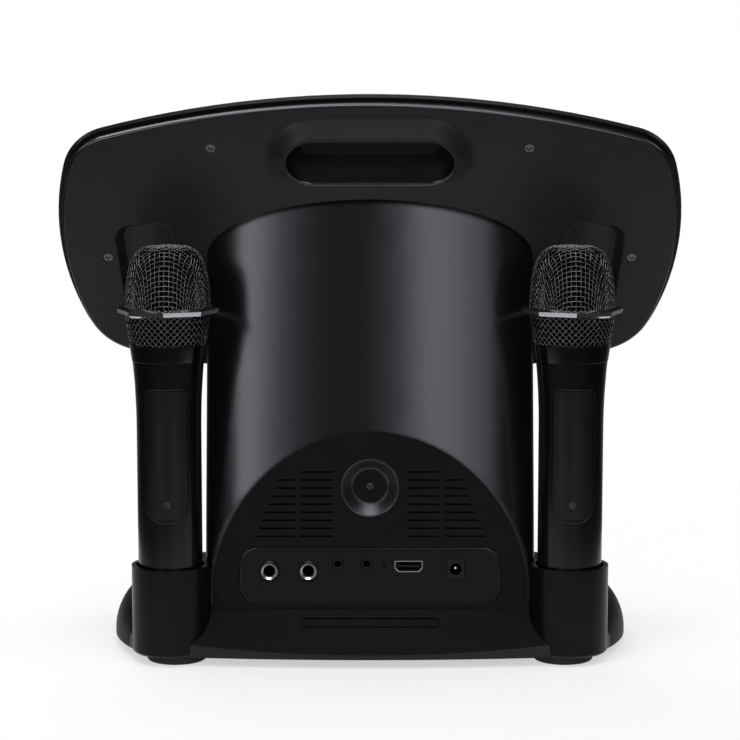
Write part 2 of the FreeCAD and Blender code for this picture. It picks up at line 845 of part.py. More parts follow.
def deck_slot():
    """Shallow groove round a long blank plate on the rear deck, near its upper edge."""
    slope = math.degrees(math.atan2(deck_normal().y, deck_normal().z))
    long = num("deck_slot_length") / 2
    wide = num("deck_slot_width") / 2
    corner = num("deck_slot_corner")
    groove = num("deck_slot_groove")
    depth = num("deck_slot_depth")
    plate = Part.Face(rounded_wire(long - groove, wide - groove, corner - groove, 0))
    tool = Part.Face(rounded_wire(long, wide, corner, 0)).cut(plate).extrude(Vec(0, 0, 2 * depth))
    tool.translate(Vec(0, -num("deck_slot_margin") - wide, -depth))
    place = FreeCAD.Placement(deck_point(), FreeCAD.Rotation(AXIS_Z, 180))
    return placed(tool, place.multiply(tilted(ORIGIN, slope)))


def make_base_plate():
    """Flat floor that closes the base, inside the cover's edge and under its deck."""
    low = num("foot_height")
    inset = num("wall") + num("fit_gap")
    plate = Part.Face(wide_outline(base_arcs(), inset, low)).extrude(Vec(0, 0, num("plate_thick")))
    plate = plate.cut(beyond(deck_point() - deck_normal() * inset, deck_normal()))
    cuts = cup_spaces(num("fit_gap"))
    cuts += [placed(screw_hole(0), facing(point, -AXIS_Z)) for point in base_screw_points()]
    for cut in cuts:
        plate = plate.cut(cut)
    shaped("base_plate", plate)


def make_rubber_feet():
    """Two round feet under the cups and two under the front of the base, their lower edges broken."""
    feet = []
    for side, sign in SIDES:
        for end, y in (("rear", "Sizes.cup_y"), ("front", "-Sizes.foot_front_y")):
            feet.append(lathe(f"foot_{side}_{end}", [
                (0, 0), ("foot_flat", 0), ("foot_radius", "half_edge"), ("foot_radius", "foot_height"),
                (0, "foot_height"),
            ], ties={"Placement.Base.x": f"{sign} * Sizes.foot_x", "Placement.Base.y": y}))
    grouped("rubber_feet", feet)


def make_base_screws():
    """Four screws up through the base plate."""
    screws = [placed(screw(), facing(point, -AXIS_Z)) for point in base_screw_points()]
    shaped("base_screws", Part.makeCompound(screws))


def make_mic_cups():
    """Round cups that hold the microphones upright."""
    for side, sign in SIDES:
        turned(f"mic_cup_{side}", [
            (0, "foot_height"), ("cup_edge_radius", "foot_height"), ("cup_outer_radius", "foot_edge_top"),
            ("cup_outer_radius", "cup_top"), ("cup_bore_radius", "cup_top"), ("cup_bore_radius", "mic_seat"),
            (0, "mic_seat"),
        ], ties={"Placement.Base.x": f"{sign} * Sizes.cup_x", "Placement.Base.y": "Sizes.cup_y"})


def make_buttons():
    """Three round push buttons with a retaining flange, and the board that they press on."""
    names = ("volume_down_button", "power_button", "volume_up_button")
    deep = num("control_board_depth")
    low = facet_place().multiply(shifted(0, 0, -deep - num("board_thick")))
    sizes = ("control_board_length", "control_board_width", "board_thick")
    board = [slab("control_board_slab", sizes, low)]
    for name, x in zip(names, button_xs()):
        axis = facet_place().multiply(shifted(x, 0, 0))
        turned(name, [
            (0, 0), ("button_flat", 0), ("button_radius", "half_edge"), ("button_radius", "button_shoulder"),
            ("button_flange_radius", "button_shoulder"), ("button_flange_radius", "button_end"), (0, "button_end"),
        ], axis.multiply(flipped(num("button_proud"))))
        foot = axis.multiply(shifted(0, 0, -deep))
        board.append(rod(name + "_switch", "control_switch_radius", "control_switch_rise", foot))
    joined("control_board", board)


# Column

def column_prism(inset):
    """Leaning prism of the column, half an ellipse behind and open-ended in front."""
    half = num("column_half_width")
    bulge = num("column_bulge")
    lean = math.tan(math.radians(num("column_lean")))
    low = num("foot_height")
    climb = num("head_z") + num("head_top") - low
    middle = num("port_face_y") + (num("arch_top") - low) * lean - bulge
    ellipse = Part.Ellipse(Vec(0, middle, low), half - inset, bulge - inset)
    rear = Part.ArcOfEllipse(ellipse, 0, math.pi).toShape()
    front = middle - num("reach") / 2
    corners = [Vec(inset - half, middle, low), Vec(inset - half, front, low),
               Vec(half - inset, front, low), Vec(half - inset, middle, low)]
    sides = [Part.LineSegment(a, b).toShape() for a, b in zip(corners, corners[1:])]
    face = Part.Face(Part.Wire([rear] + sides))
    prism = face.extrude(Vec(0, -lean * climb, climb))
    return prism.cut(beyond(Vec(0, num("port_face_y") - inset, 0), AXIS_Y))


def arch_edges(solid):
    """Edges where the flat port face cuts the round and the sides of the column."""
    face_y = num("port_face_y")
    found = []
    for edge in solid.Edges:
        box = edge.BoundBox
        flat = abs(box.YMin - face_y) < 0.01 and abs(box.YMax - face_y) < 0.01
        if flat and box.ZLength > num("fit_gap"):
            found.append(edge)
    return found


def head_space():
    """Room that the head takes up, with its clearance, everywhere in front of its back face."""
    gap = num("fit_gap")
    room = Part.Face(wide_outline(head_arcs(), -gap, -gap)).extrude(Vec(0, 0, num("reach") / 2))
    return placed(room, head_place())


def trim_column(shape):
    """Cuts a column piece where the base, the head and the front baffle stop it."""
    shape = shape.cut(base_dome(num("fit_gap")))
    shape = shape.cut(head_space())
    for space in cup_spaces(num("fit_gap")):
        shape = shape.cut(space)
    return shape.cut(beyond(baffle_middle(), baffle_normal()))


def panel_opening(grow, y_low, y_high):
    """Rounded opening for the port panel, between two Y limits."""
    width = num("panel_width") + 2 * grow
    height = num("panel_height") + 2 * grow
    tool = rounded_box(width, height, num("panel_corner") + grow, y_high - y_low)
    middle = Vec(0, y_high, num("panel_low") + num("panel_height") / 2)
    return placed(tool, tilted(middle, 90))


def vent_slots():
    """Rows of vent slots on both sides of the screw well; the outer rows narrow upwards."""
    slots = []
    rows = int(num("vent_rows"))
    face_y = num("port_face_y")
    deep = (face_y - 2 * num("wall"), face_y + num("wall"))
    for row in range(rows):
        middle = num("deck_top") + num("vent_first") + row * num("vent_pitch")
        tall = (middle - num("vent_slot") / 2, middle + num("vent_slot") / 2)
        outer_end = num("vent_outer_end") - row * num("vent_outer_step")
        spans = [(num("vent_inner_start"), num("vent_inner_end"))]
        if row < rows - 1:
            spans.append((num("vent_outer_start"), outer_end))
        for start, end in spans:
            slots.append(block((start, end), deep, tall))
            slots.append(block((-end, -start), deep, tall))
    return slots


def well_cone(grow):
    """Dished screw well, grown by a wall."""
    deep = num("well_depth")
    point = Vec(0, num("port_face_y") - deep, well_z())
    return Part.makeCone(num("well_floor_radius") + grow, num("well_radius") + grow, deep, point, AXIS_Y)


def well_space():
    """Room inside the screw well, with a soft turn from its side to its floor."""
    cone = well_cone(0)
    floor_y = num("port_face_y") - num("well_depth")
    return cone.makeFillet(num("well_floor_round"), front_edges(cone, floor_y))


def rim_edges(shell):
    """Mouth of the screw well on the port face."""
    return [edge for edge in front_edges(shell, num("port_face_y"))
            if edge.Curve.TypeId == "Part::GeomCircle" and abs(edge.Curve.Radius - num("well_radius")) < 0.01]


def column_screw_place():
    """Screw at the bottom of the well, facing the rear."""
    y = num("port_face_y") - num("well_depth") + num("screw_head_height") / 2
    return facing(Vec(0, y, well_z()), AXIS_Y)


def make_column_shell():
    """Rear shell of the column with its port face, vents, screw well and panel opening.

    The rounding of the arch stays inside the tightest curve, at the ends of the half ellipse.
    """
    wall = num("wall")
    outer = column_prism(0)
    tightest = num("column_bulge") ** 2 / num("column_half_width")
    outer = outer.makeFillet(min(num("arch_round"), 0.8 * tightest), arch_edges(outer))
    shell = outer.cut(column_prism(wall))
    floor_y = num("port_face_y") - num("well_depth")
    floor = tube(num("well_floor_radius") + wall, wall, Vec(0, floor_y - wall, well_z()), AXIS_Y)
    behind = well_cone(wall).fuse(floor)
    shell = shell.fuse(behind.common(outer))
    shell = trim_column(shell)
    shell = shell.cut(well_space())
    shell = shell.makeFillet(num("well_rim_round"), rim_edges(shell))
    shell = shell.cut(placed(screw_hole(0, SMALL_HEAD), column_screw_place()))
    face_y = num("port_face_y")
    shell = shell.cut(panel_opening(num("fit_gap"), face_y - 2 * wall, face_y + wall))
    shell = shell.cut(Part.makeCompound(vent_slots()))
    shaped("column_rear_shell", largest(shell))


def well_z():
    """Height of the screw well."""
    return num("deck_top") + num("well_rise")


def make_column_screw():
    """One screw at the bottom of the well."""
    shaped("column_screw", screw(SMALL_HEAD), column_screw_place())


def make_baffle():
    """Front panel of the column that carries the woofer, with a seat for its grille."""
    panel = column_prism(num("wall") + num("fit_gap"))
    back = baffle_middle() - baffle_normal() * num("baffle_thick")
    panel = trim_column(panel).cut(beyond(back, -baffle_normal()))
    seat = tube(num("grille_radius") + num("fit_gap"), num("reach"),
                Vec(0, 0, num("baffle_thick") - num("grille_thick")), AXIS_Z)
    hole = tube(num("woofer_hole_radius"), num("baffle_thick"), ORIGIN, AXIS_Z)
    panel = panel.cut(placed(hole, woofer_place())).cut(placed(seat, woofer_place()))
    shaped("column_front_baffle", largest(panel))


def make_speaker_grille():
    """Flat round grille, pierced in a triangular pattern."""
    radius = num("grille_radius")
    thick = num("grille_thick")
    pitch = num("grille_hole_pitch")
    plate = tube(radius, thick, ORIGIN, AXIS_Z)
    rows = int(radius / pitch)
    holes = []
    for row in range(-rows, rows + 1):
        for column in range(-rows, rows + 1):
            point = Vec((column + 0.5 * (row % 2)) * pitch, row * pitch * math.sqrt(3) / 2, 0)
            if point.Length < radius - pitch:
                holes.append(tube(num("grille_hole_radius"), thick, point, AXIS_Z))
    plate = plate.cut(Part.makeCompound(holes))
    lift = Vec(0, 0, num("baffle_thick") - thick)
    shaped("speaker_grille", plate, woofer_place().multiply(FreeCAD.Placement(lift, FreeCAD.Rotation())))


def make_woofer():
    """Basket, magnet, moving cone and the rolled surround between cone and basket."""
    place = woofer_place()
    back = place.multiply(flipped(0))
    turned("woofer_basket", [
        ("woofer_hole_radius", "surround_skin"), ("woofer_flange_radius", "surround_skin"),
        ("woofer_flange_radius", "woofer_flange_thick"), ("basket_top_radius", "woofer_flange_thick"),
        ("magnet_radius", "magnet_start"), ("gap_radius", "magnet_start"), ("gap_radius", "basket_depth"),
        ("basket_foot_radius", "basket_depth"), ("woofer_hole_radius", "woofer_flange_thick"),
    ], back)
    turned("woofer_magnet", [
        (0, "magnet_start"), ("pole_radius", "magnet_start"), ("pole_radius", "coil_groove"),
        ("gap_radius", "coil_groove"), ("gap_radius", "magnet_start"), ("magnet_radius", "magnet_start"),
        ("magnet_radius", "magnet_end"), (0, "magnet_end"),
    ], back)
    hole = num("woofer_hole_radius")
    rim = num("woofer_flange_radius")
    roll = num("surround_skin")
    cone_edge = num("cone_radius")
    coil = num("coil_radius")
    cone_skin = num("cone_skin")
    bottom = num("cone_depth")
    cone = [
        (0, -bottom), (coil, -bottom), (coil, -num("coil_end")), (coil + cone_skin, -num("coil_end")),
        (coil + cone_skin, -bottom - cone_skin), (cone_edge, -roll - cone_skin), (cone_edge, -roll),
        (coil + cone_skin, -bottom + cone_skin),
    ]
    cap_top = cone_skin + num("dust_cap_height") - bottom
    cap = cap_arc(coil + cone_skin, cone_skin - bottom, cap_top)
    shaped("woofer_cone", spun(chain(cone) + [cap, line((0, cap_top), (0, -bottom))]), place)
    shaped("woofer_surround", surround(cone_edge, hole, rim, roll), place)


def cap_arc(radius, low, top):
    """Arc of a shallow dome, from its rim to the axis."""
    rise = top - low
    ball = (radius ** 2 + rise ** 2) / (2 * rise)
    half = math.asin(radius / ball) / 2
    middle = Vec(ball * math.sin(half), 0, top - ball + ball * math.cos(half))
    return Part.Arc(Vec(radius, 0, low), middle, Vec(0, 0, top)).toShape()


def surround(inner, outer, rim, skin):
    """Half-roll of rubber, its flat edges lying on the cone and on the basket."""
    rise = num("surround_height")
    middle = (inner + outer) / 2
    lip = inner - 2 * skin
    upper = Part.Arc(Vec(outer, 0, 0), Vec(middle, 0, rise), Vec(inner, 0, 0)).toShape()
    lower = Part.Arc(Vec(inner, 0, -skin), Vec(middle, 0, rise - skin), Vec(outer, 0, -skin)).toShape()
    edges = [upper] + chain([(inner, 0), (lip, 0), (lip, -skin), (inner, -skin)])
    edges += [lower] + chain([(outer, -skin), (rim, -skin), (rim, 0), (outer, 0)])
    return spun(edges)


# Port panel

def socket_place(x, lift):
    """Socket axis: Z out of the panel to the rear, from the port board's face."""
    point = Vec(x, num("port_board_y"), num("socket_z") + lift)
    return FreeCAD.Placement(point, FreeCAD.Rotation(AXIS_X, -90))


def mic_jack_xs():
    """Places of the two microphone jacks, from the middle outwards."""
    return [num("mic_jack_outer_x"), num("mic_jack_inner_x")]


def line_jack_xs():
    """Places of the two small jacks."""
    return [num("line_jack_outer_x"), num("line_jack_inner_x")]


def hdmi_wire(grow, height):
    """Socket outline: a rectangle with its two lower corners cut off."""
    half = num("hdmi_width") / 2 + grow
    tall = num("hdmi_height") / 2 + grow
    cut = num("hdmi_shoulder")
    points = [Vec(-half, -tall, height), Vec(half, -tall, height), Vec(half, tall - cut, height),
              Vec(half - cut, tall, height), Vec(cut - half, tall, height), Vec(-half, tall - cut, height)]
    return Part.makePolygon(points + points[:1])


def dc_block(grow, length):
    """Square socket housing with soft corners."""
    return rounded_box(num("dc_width") + 2 * grow, num("dc_height") + 2 * grow, num("edge_round"), length)


def make_port_panel():
    """Inset panel with a flange behind the wall and an opening for each socket."""
    gap = num("fit_gap")
    back = num("panel_back_y")
    flange_face = num("port_face_y") - num("wall")
    panel = panel_opening(0, back, num("panel_face_y"))
    panel = panel.makeFillet(num("half_edge"), front_edges(panel, num("panel_face_y")))
    panel = panel.fuse(panel_opening(num("panel_flange"), back, flange_face))
    long = num("nut_reach") + gap
    cuts = []
    for x in mic_jack_xs():
        cuts.append(placed(tube(num("mic_jack_thread_radius") + gap, long, ORIGIN, AXIS_Z), socket_place(x, 0)))
    for x in line_jack_xs():
        hole = tube(num("line_jack_radius") + gap, long, ORIGIN, AXIS_Z)
        cuts.append(placed(hole, socket_place(x, num("line_jack_lift"))))
    pin = tube(num("reset_radius") + num("run_gap"), long, ORIGIN, AXIS_Z)
    cuts.append(placed(pin, socket_place(-num("reset_x"), num("reset_lift"))))
    slot = Part.Face(hdmi_wire(gap, 0)).extrude(Vec(0, 0, long))
    cuts.append(placed(slot, socket_place(-num("hdmi_x"), num("hdmi_lift"))))
    cuts.append(placed(dc_block(gap, long), socket_place(-num("dc_x"), num("dc_lift"))))
    for cut in cuts:
        panel = panel.cut(cut)
    panel = panel.cut(base_dome(gap))
    shaped("port_panel", largest(panel))


def jack_body(label, width, bore, place):
    """Moulded jack body behind the panel, with the plug's bore in it."""
    solid = slab(label + "_block", (width, width, "mic_jack_length"), place)
    floor = place.multiply(shifted(0, 0, num("board_thick")))
    return hollowed(label, solid, rod(label + "_bore", bore, "mic_jack_length", floor))


def make_mic_jacks():
    """Threaded bushings with a round nut outside, and the jack bodies behind the panel."""
    bushings = []
    bodies = []
    for index, x in enumerate(mic_jack_xs()):
        place = socket_place(x, 0)
        bushings.append(lathe(f"mic_jack_bushing_{index}", [
            ("mic_jack_bore_radius", "mic_jack_length"), ("mic_jack_thread_radius", "mic_jack_length"),
            ("mic_jack_thread_radius", "socket_reach"), ("mic_jack_nut_radius", "socket_reach"),
            ("mic_jack_nut_radius", "nut_edge"), ("nut_flat", "nut_reach"), ("nut_mouth", "nut_reach"),
            ("mic_jack_bore_radius", "nut_throat"),
        ], place))
        bodies.append(jack_body(f"mic_jack_body_{index}", "mic_jack_body", "mic_jack_bore_radius", place))
    grouped("mic_jack_bushings", bushings)
    grouped("mic_jack_bodies", bodies)


def make_line_jacks():
    """Small jack sleeves flush with the panel, and their bodies behind it."""
    sleeves = []
    bodies = []
    for index, x in enumerate(line_jack_xs()):
        place = socket_place(x, num("line_jack_lift"))
        sleeves.append(lathe(f"line_jack_sleeve_{index}", [
            ("line_jack_bore_radius", "mic_jack_length"), ("line_jack_radius", "mic_jack_length"),
            ("line_jack_radius", "line_jack_edge"), ("line_jack_flat", "line_jack_reach"),
            ("line_jack_mouth", "line_jack_reach"), ("line_jack_bore_radius", "line_jack_edge"),
        ], place))
        bodies.append(jack_body(f"line_jack_body_{index}", "line_jack_body", "line_jack_bore_radius", place))
    grouped("line_jack_bushings", sleeves)
    grouped("line_jack_bodies", bodies)


def make_hdmi():
    """Folded metal socket shell and the contact tongue inside it."""
    skin = num("hdmi_wall")
    long = num("socket_reach")
    place = socket_place(-num("hdmi_x"), num("hdmi_lift"))
    shell = Part.Face(hdmi_wire(0, 0)).extrude(Vec(0, 0, long))
    hollow = Part.Face(hdmi_wire(-skin, num("hdmi_floor"))).extrude(Vec(0, 0, long))
    shaped("hdmi_shell", shell.cut(hollow), place)
    floor = place.multiply(shifted(0, 0, num("hdmi_floor")))
    sizes = ("hdmi_tongue_width", "hdmi_tongue_thick", "hdmi_tongue_length")
    keep(slab("hdmi_tongue", sizes, floor), "hdmi_tongue")


def make_dc_jack():
    """Power inlet: a moulded housing with a bore, and its centre pin."""
    place = socket_place(-num("dc_x"), num("dc_lift"))
    long = num("socket_reach")
    bore = tube(num("dc_bore_radius"), long, Vec(0, 0, num("dc_floor")), AXIS_Z)
    shaped("dc_jack_housing", dc_block(0, long).cut(bore), place)
    turned("dc_jack_pin", [
        (0, "dc_floor"), ("dc_pin_radius", "dc_floor"), ("dc_pin_radius", "dc_pin_edge"),
        ("dc_pin_tip_radius", "dc_pin_tip"), (0, "dc_pin_tip"),
    ], place)


def make_reset_button():
    """Thin plunger behind its pinhole, with a collar that the switch on the board pushes out."""
    turned("reset_button", [
        (0, "reset_low"), ("reset_collar", "reset_low"), ("reset_collar", "reset_collar_top"),
        ("reset_radius", "reset_collar_top"), ("reset_radius", "reset_reach"), (0, "reset_reach"),
    ], socket_place(-num("reset_x"), num("reset_lift")))


def make_port_board():
    """Circuit board behind the sockets, with the reset switch on it."""
    middle = num("port_board_low") + num("port_board_height") / 2
    back = socket_place(0, middle - num("socket_z")).multiply(shifted(0, 0, -num("board_thick")))
    board = slab("port_board_slab", ("port_board_width", "port_board_height", "board_thick"), back)
    switch_place = socket_place(-num("reset_x"), num("reset_lift"))
    switch = rod("reset_switch", "reset_switch_radius", "board_thick", switch_place)
    joined("port_board", [board, switch])


# Head, in its own plane

def head_layers(layers, inset):
    """Solid through head outlines at given depths, each with its own inset."""
    wires = [wide_outline(head_arcs(), own + inset, depth) for depth, own in layers]
    return Part.makeLoft(wires, True, True)


def bezel_layers(depth_back, depth_front):
    """Depths and insets of the bezel's outer surface."""
    slope = num("bezel_front_inset") / (num("head_thick") - num("bezel_widest"))
    turn = depth_front - num("bezel_front_round")
    return [
        (depth_back, num("bezel_lip")),
        (num("bezel_widest"), 0),
        (turn, slope * (turn - num("bezel_widest"))),
        (depth_front, slope * (turn - num("bezel_widest")) + num("bezel_front_round")),
    ]


def glass_back():
    """Depth of the glass's back face."""
    return num("head_thick") - num("wall")


def frame_face():
    """Depth of the head frame's rear face."""
    return glass_back() - num("lcd_thick") - num("frame_thick")


def head_screw_points():
    """Four screws on the back face of the head."""
    points = []
    for _, sign in SIDES:
        points.append(Vec(sign * num("head_screw_upper_x"), num("head_screw_upper_rise"), 0))
        points.append(Vec(sign * num("head_screw_lower_x"), -num("head_screw_lower_drop"), 0))
    return points


def pocket_tool(grow):
    """Handle pocket: a round-ended slot whose sides slope in to a flat floor, most of all along its lower edge."""
    long = num("pocket_half_length") + grow
    low = num("pocket_bottom") - grow
    high = num("pocket_top") + grow
    up = 2 * num("hood_height")
    mouth = Part.Face(stadium(long, low, high, -up)).extrude(Vec(0, 0, up))
    rim = stadium(long, low, high, 0)
    floor = stadium(long - num("pocket_end_slope"), low + num("pocket_lower_slope"),
                    high - num("pocket_upper_slope"), num("pocket_depth") + grow)
    return mouth.fuse(Part.makeLoft([rim, floor], True, True))


def hood():
    """Raised mound round the pocket, highest at its upper edge and flush below it."""
    spread = num("hood_spread")
    low = num("pocket_bottom")
    high = num("pocket_top")
    sunk = num("wall") / 2
    lip = num("hood_lip")
    foot_wire = stadium(num("pocket_half_length") + spread, low - spread, high + spread + lip, sunk)
    crest = stadium(num("pocket_half_length") + lip, low - lip, high + lip, 0)
    span = high - low + 2 * lip
    angle = math.degrees(math.atan2(num("hood_height"), span))
    crest.rotate(Vec(0, low - lip, 0), AXIS_X, -angle)
    return Part.makeLoft([foot_wire, crest], True, True)


def scoop_tool(sign, grow):
    """Thumb-shaped recess that clears a microphone head: steep outer side, floor running out inwards."""
    deep = num("scoop_depth")
    half = num("scoop_half_width")
    long = num("scoop_length") / 2
    draft = num("scoop_side") / deep
    wires = []
    for height in (-num("wall"), deep + grow):
        inset = height * draft - grow
        wires.append(rounded_wire(long - inset, half - inset, num("scoop_corner") - inset, height))
    slot = Part.makeLoft(wires, True, True)
    fall = deep / (2 * half - num("scoop_side"))
    down = Vec(0, -fall, 1).normalize()
    slot = slot.cut(beyond(Vec(0, -half, 0) + down * grow, down))
    slot.translate(Vec(long, 0, 0))
    turn = FreeCAD.Rotation(AXIS_Z, -90 - num("scoop_splay"))
    tool = placed(slot, FreeCAD.Placement(Vec(num("scoop_x"), -num("scoop_drop"), 0), turn))
    return tool if sign > 0 else tool.mirror(ORIGIN, AXIS_X)


def make_head_back_cover():
    """Shallow rear tray with the hood, handle pocket, scoops and screw wells."""
    wall = num("wall")
    inset = num("cover_inset")
    thick = num("cover_thick")
    tray = Part.Face(wide_outline(head_arcs(), inset, 0)).extrude(Vec(0, 0, thick))
    back = [edge for edge in tray.Edges if all(abs(corner.Z) < 0.01 for corner in edge.Vertexes)]
    tray = tray.makeFillet(num("edge_round"), back)
    hollow = Part.Face(wide_outline(head_arcs(), inset + wall, wall)).extrude(Vec(0, 0, thick))
    cover = tray.cut(hollow)
    room = Part.Face(wide_outline(head_arcs(), inset + wall / 2, 0)).extrude(Vec(0, 0, num("head_thick")))
    cover = cover.fuse(pocket_tool(wall).common(room))
    cover = cover.fuse(hood())
    for _, sign in SIDES:
        cover = cover.fuse(scoop_tool(sign, wall).common(room))
    sink = num("head_screw_sink")
    for point in head_screw_points():
        cover = cover.fuse(tube(num("boss_radius"), thick, point, AXIS_Z))
    cover = cover.cut(pocket_tool(0))
    for _, sign in SIDES:
        cover = cover.cut(scoop_tool(sign, 0))
    for point in head_screw_points():
        cover = cover.cut(placed(screw_hole(sink + wall), facing(point + AXIS_Z * sink, -AXIS_Z)))
    shaped("head_back_cover", largest(cover), head_place())


def make_head_bezel():
    """Front frame of the head with tapering sides and an opening for the glass."""
    wall = num("wall")
    start = num("cover_thick") + num("fit_gap")
    outer = head_layers(bezel_layers(start, num("head_thick")), 0)
    inner = head_layers(bezel_layers(start, glass_back()), wall)
    window = wide_outline(head_arcs(), num("glass_inset") - num("fit_gap"), start)
    bezel = outer.cut(inner).cut(Part.Face(window).extrude(Vec(0, 0, num("head_thick"))))
    shaped("head_bezel", largest(bezel), head_place())


def make_glass_and_display():
    """Black front glass, and the display module bonded behind it."""
    back = glass_back()
    glass = Part.Face(wide_outline(head_arcs(), num("glass_inset"), back)).extrude(Vec(0, 0, num("wall")))
    shaped("touch_glass", glass, head_place())
    bond = head_place().multiply(shifted(0, -num("lcd_drop"), back - num("lcd_thick")))
    keep(slab("lcd_module", ("lcd_width", "lcd_height", "lcd_thick"), bond), "lcd_module")


def make_head_frame():
    """Sheet frame behind the display, with bosses for the head screws and a gap for the pocket."""
    face = frame_face()
    outline = wide_outline(head_arcs(), num("frame_inset"), face)
    frame = Part.Face(outline).extrude(Vec(0, 0, num("frame_thick")))
    start = num("cover_thick") + num("fit_gap")
    for point in head_screw_points():
        frame = frame.fuse(tube(num("boss_radius"), face - start, point + AXIS_Z * start, AXIS_Z))
    frame = frame.cut(pocket_tool(num("wall") + num("fit_gap")))
    for point in head_screw_points():
        frame = frame.cut(placed(screw_hole(0), facing(point + AXIS_Z * num("head_screw_sink"), -AXIS_Z)))
    shaped("head_frame", largest(frame), head_place())


def make_head_board():
    """Main circuit board on four standoffs behind the head frame."""
    top = head_place().multiply(shifted(0, -num("head_board_drop"), frame_face() - num("standoff_height")))
    low = top.multiply(shifted(0, 0, -num("board_thick")))
    pieces = [slab("head_board_slab", ("head_board_width", "head_board_height", "board_thick"), low)]
    radius = num("standoff_radius")
    across = num("head_board_width") / 2 - radius
    along = num("head_board_height") / 2 - radius
    for x in (-across, across):
        for y in (-along, along):
            label = f"head_standoff_{len(pieces)}"
            pieces.append(rod(label, "standoff_radius", "standoff_height", top.multiply(shifted(x, y, 0))))
    joined("head_board", pieces)


def make_head_screws():
    """Four screws in the back face of the head."""
    sink = AXIS_Z * num("head_screw_sink")
    screws = [placed(screw(), facing(point + sink, -AXIS_Z)) for point in head_screw_points()]
    shaped("head_screws", Part.makeCompound(screws), head_place())


# Microphones, heights from the foot of the handle

def mic_place(sign):
    """Microphone axis, standing on the floor of its cup."""
    return FreeCAD.Placement(Vec(sign * num("cup_x"), num("cup_y"), num("mic_seat")), FreeCAD.Rotation())


def mic_ties(sign):
    """Placement of a microphone piece, tied to the cup."""
    return {
        "Placement.Base.x": f"{sign} * Sizes.cup_x",
        "Placement.Base.y": "Sizes.cup_y",
        "Placement.Base.z": "Sizes.mic_seat",
    }


def handle_solid(inset, low):
    """Handle turned from a straight grip that flares into its shoulder, from a given height up."""
    radius = num("mic_radius") - inset
    shoulder = num("mic_shoulder_radius") - inset
    bend = num("mic_straight")
    top = num("mic_handle")
    edge = num("mic_foot_round")
    flare = flare_arc(radius, bend, shoulder, top)
    foot_edges = chain([(0, low), (radius - edge, low), (radius, low + edge), (radius, bend)])
    return spun(foot_edges + [flare] + chain([(shoulder, top), (0, top), (0, low)]))


def flare_arc(radius, bend, shoulder, top):
    """Arc that leaves the straight grip upright and widens to the shoulder."""
    rise = top - bend
    spread = shoulder - radius
    ball = (rise ** 2 + spread ** 2) / (2 * spread)
    half = math.asin(rise / ball) / 2
    middle = Vec(radius + ball - ball * math.cos(half), 0, bend + ball * math.sin(half))
    return Part.Arc(Vec(radius, 0, bend), middle, Vec(shoulder, 0, top)).toShape()


def door_tool(gap):
    """Rounded opening of the battery door, facing the rear."""
    width = num("mic_door_width") + 2 * gap
    low = num("mic_door_low") - gap
    high = num("mic_door_high") + gap
    deep = 2 * num("mic_radius")
    tool = block((-width / 2, width / 2), (0, deep), (low, high))
    for level, corner in ((low, num("mic_door_foot_corner")), (high, num("mic_door_corner"))):
        ends = [edge for edge in tool.Edges if edge.BoundBox.YLength > deep / 2
                and abs(edge.BoundBox.ZMin - level) < 0.01 and abs(edge.BoundBox.ZMax - level) < 0.01
                and abs(abs(edge.BoundBox.XMin) - width / 2) < 0.01]
        tool = tool.makeFillet(corner + gap, ends)
    return tool


def switch_tool(grow, y_outer, y_inner):
    """Round-ended power button shape on the front of the handle, between two Y limits."""
    half = num("mic_switch_length") / 2 + grow
    wide = num("mic_switch_width") / 2 + grow
    tool = Part.Face(stadium(half, -wide, wide, 0)).extrude(Vec(0, 0, y_inner - y_outer))
    turn = FreeCAD.Rotation(AXIS_X, -90).multiply(FreeCAD.Rotation(AXIS_Z, 90))
    return placed(tool, FreeCAD.Placement(Vec(0, y_outer, num("mic_switch_rise")), turn))


def door_screw_place():
    """Screw near the lower end of the battery door, facing the rear."""
    rise = num("mic_door_low") + num("mic_door_screw_rise")
    return facing(Vec(0, num("mic_radius") - num("screw_recess_depth") / 2, rise), AXIS_Y)


def door_screw():
    """Short screw, its end just inside the handle wall."""
    shank_end = num("mic_radius") - num("mic_wall") - num("fit_gap")
    inside = Vec(0, shank_end - num("mic_radius") - num("fit_gap"), 0)
    handle = tube(num("mic_radius"), num("mic_handle"), inside, AXIS_Z)
    return placed(screw(SMALL_HEAD), door_screw_place()).cut(handle)


def make_mic_handle(side, sign):
    """Hollow handle, battery door, door screw and power button."""
    place = mic_place(sign)
    wall = num("mic_wall")
    shell = handle_solid(0, 0).cut(handle_solid(wall, wall))
    body = shell.cut(door_tool(num("mic_door_gap")))
    body = body.cut(switch_tool(num("run_gap"), -2 * num("mic_radius"), 0))
    shaped(f"mic_{side}_body", largest(body), place)
    door = shell.common(door_tool(0))
    door = door.cut(placed(screw_hole(num("mic_radius"), SMALL_HEAD), door_screw_place()))
    shaped(f"mic_{side}_battery_door", largest(door), place)
    shaped(f"mic_{side}_door_screw", largest(door_screw()), place)
    cap_y = -num("mic_radius") - num("mic_switch_proud")
    cap = switch_tool(0, cap_y, num("switch_flange_y"))
    cap = cap.makeFillet(num("mic_switch_proud") / 2, front_edges(cap, cap_y))
    flange = switch_tool(num("mic_switch_flange"), num("switch_flange_y"), num("switch_back_y"))
    shaped(f"mic_{side}_power_button", cap.fuse(flange), place)


def front_edges(shape, face_y):
    """Edges of a shape that lie in one plane across Y."""
    return [edge for edge in shape.Edges if all(abs(corner.Y - face_y) < 0.01 for corner in edge.Vertexes)]


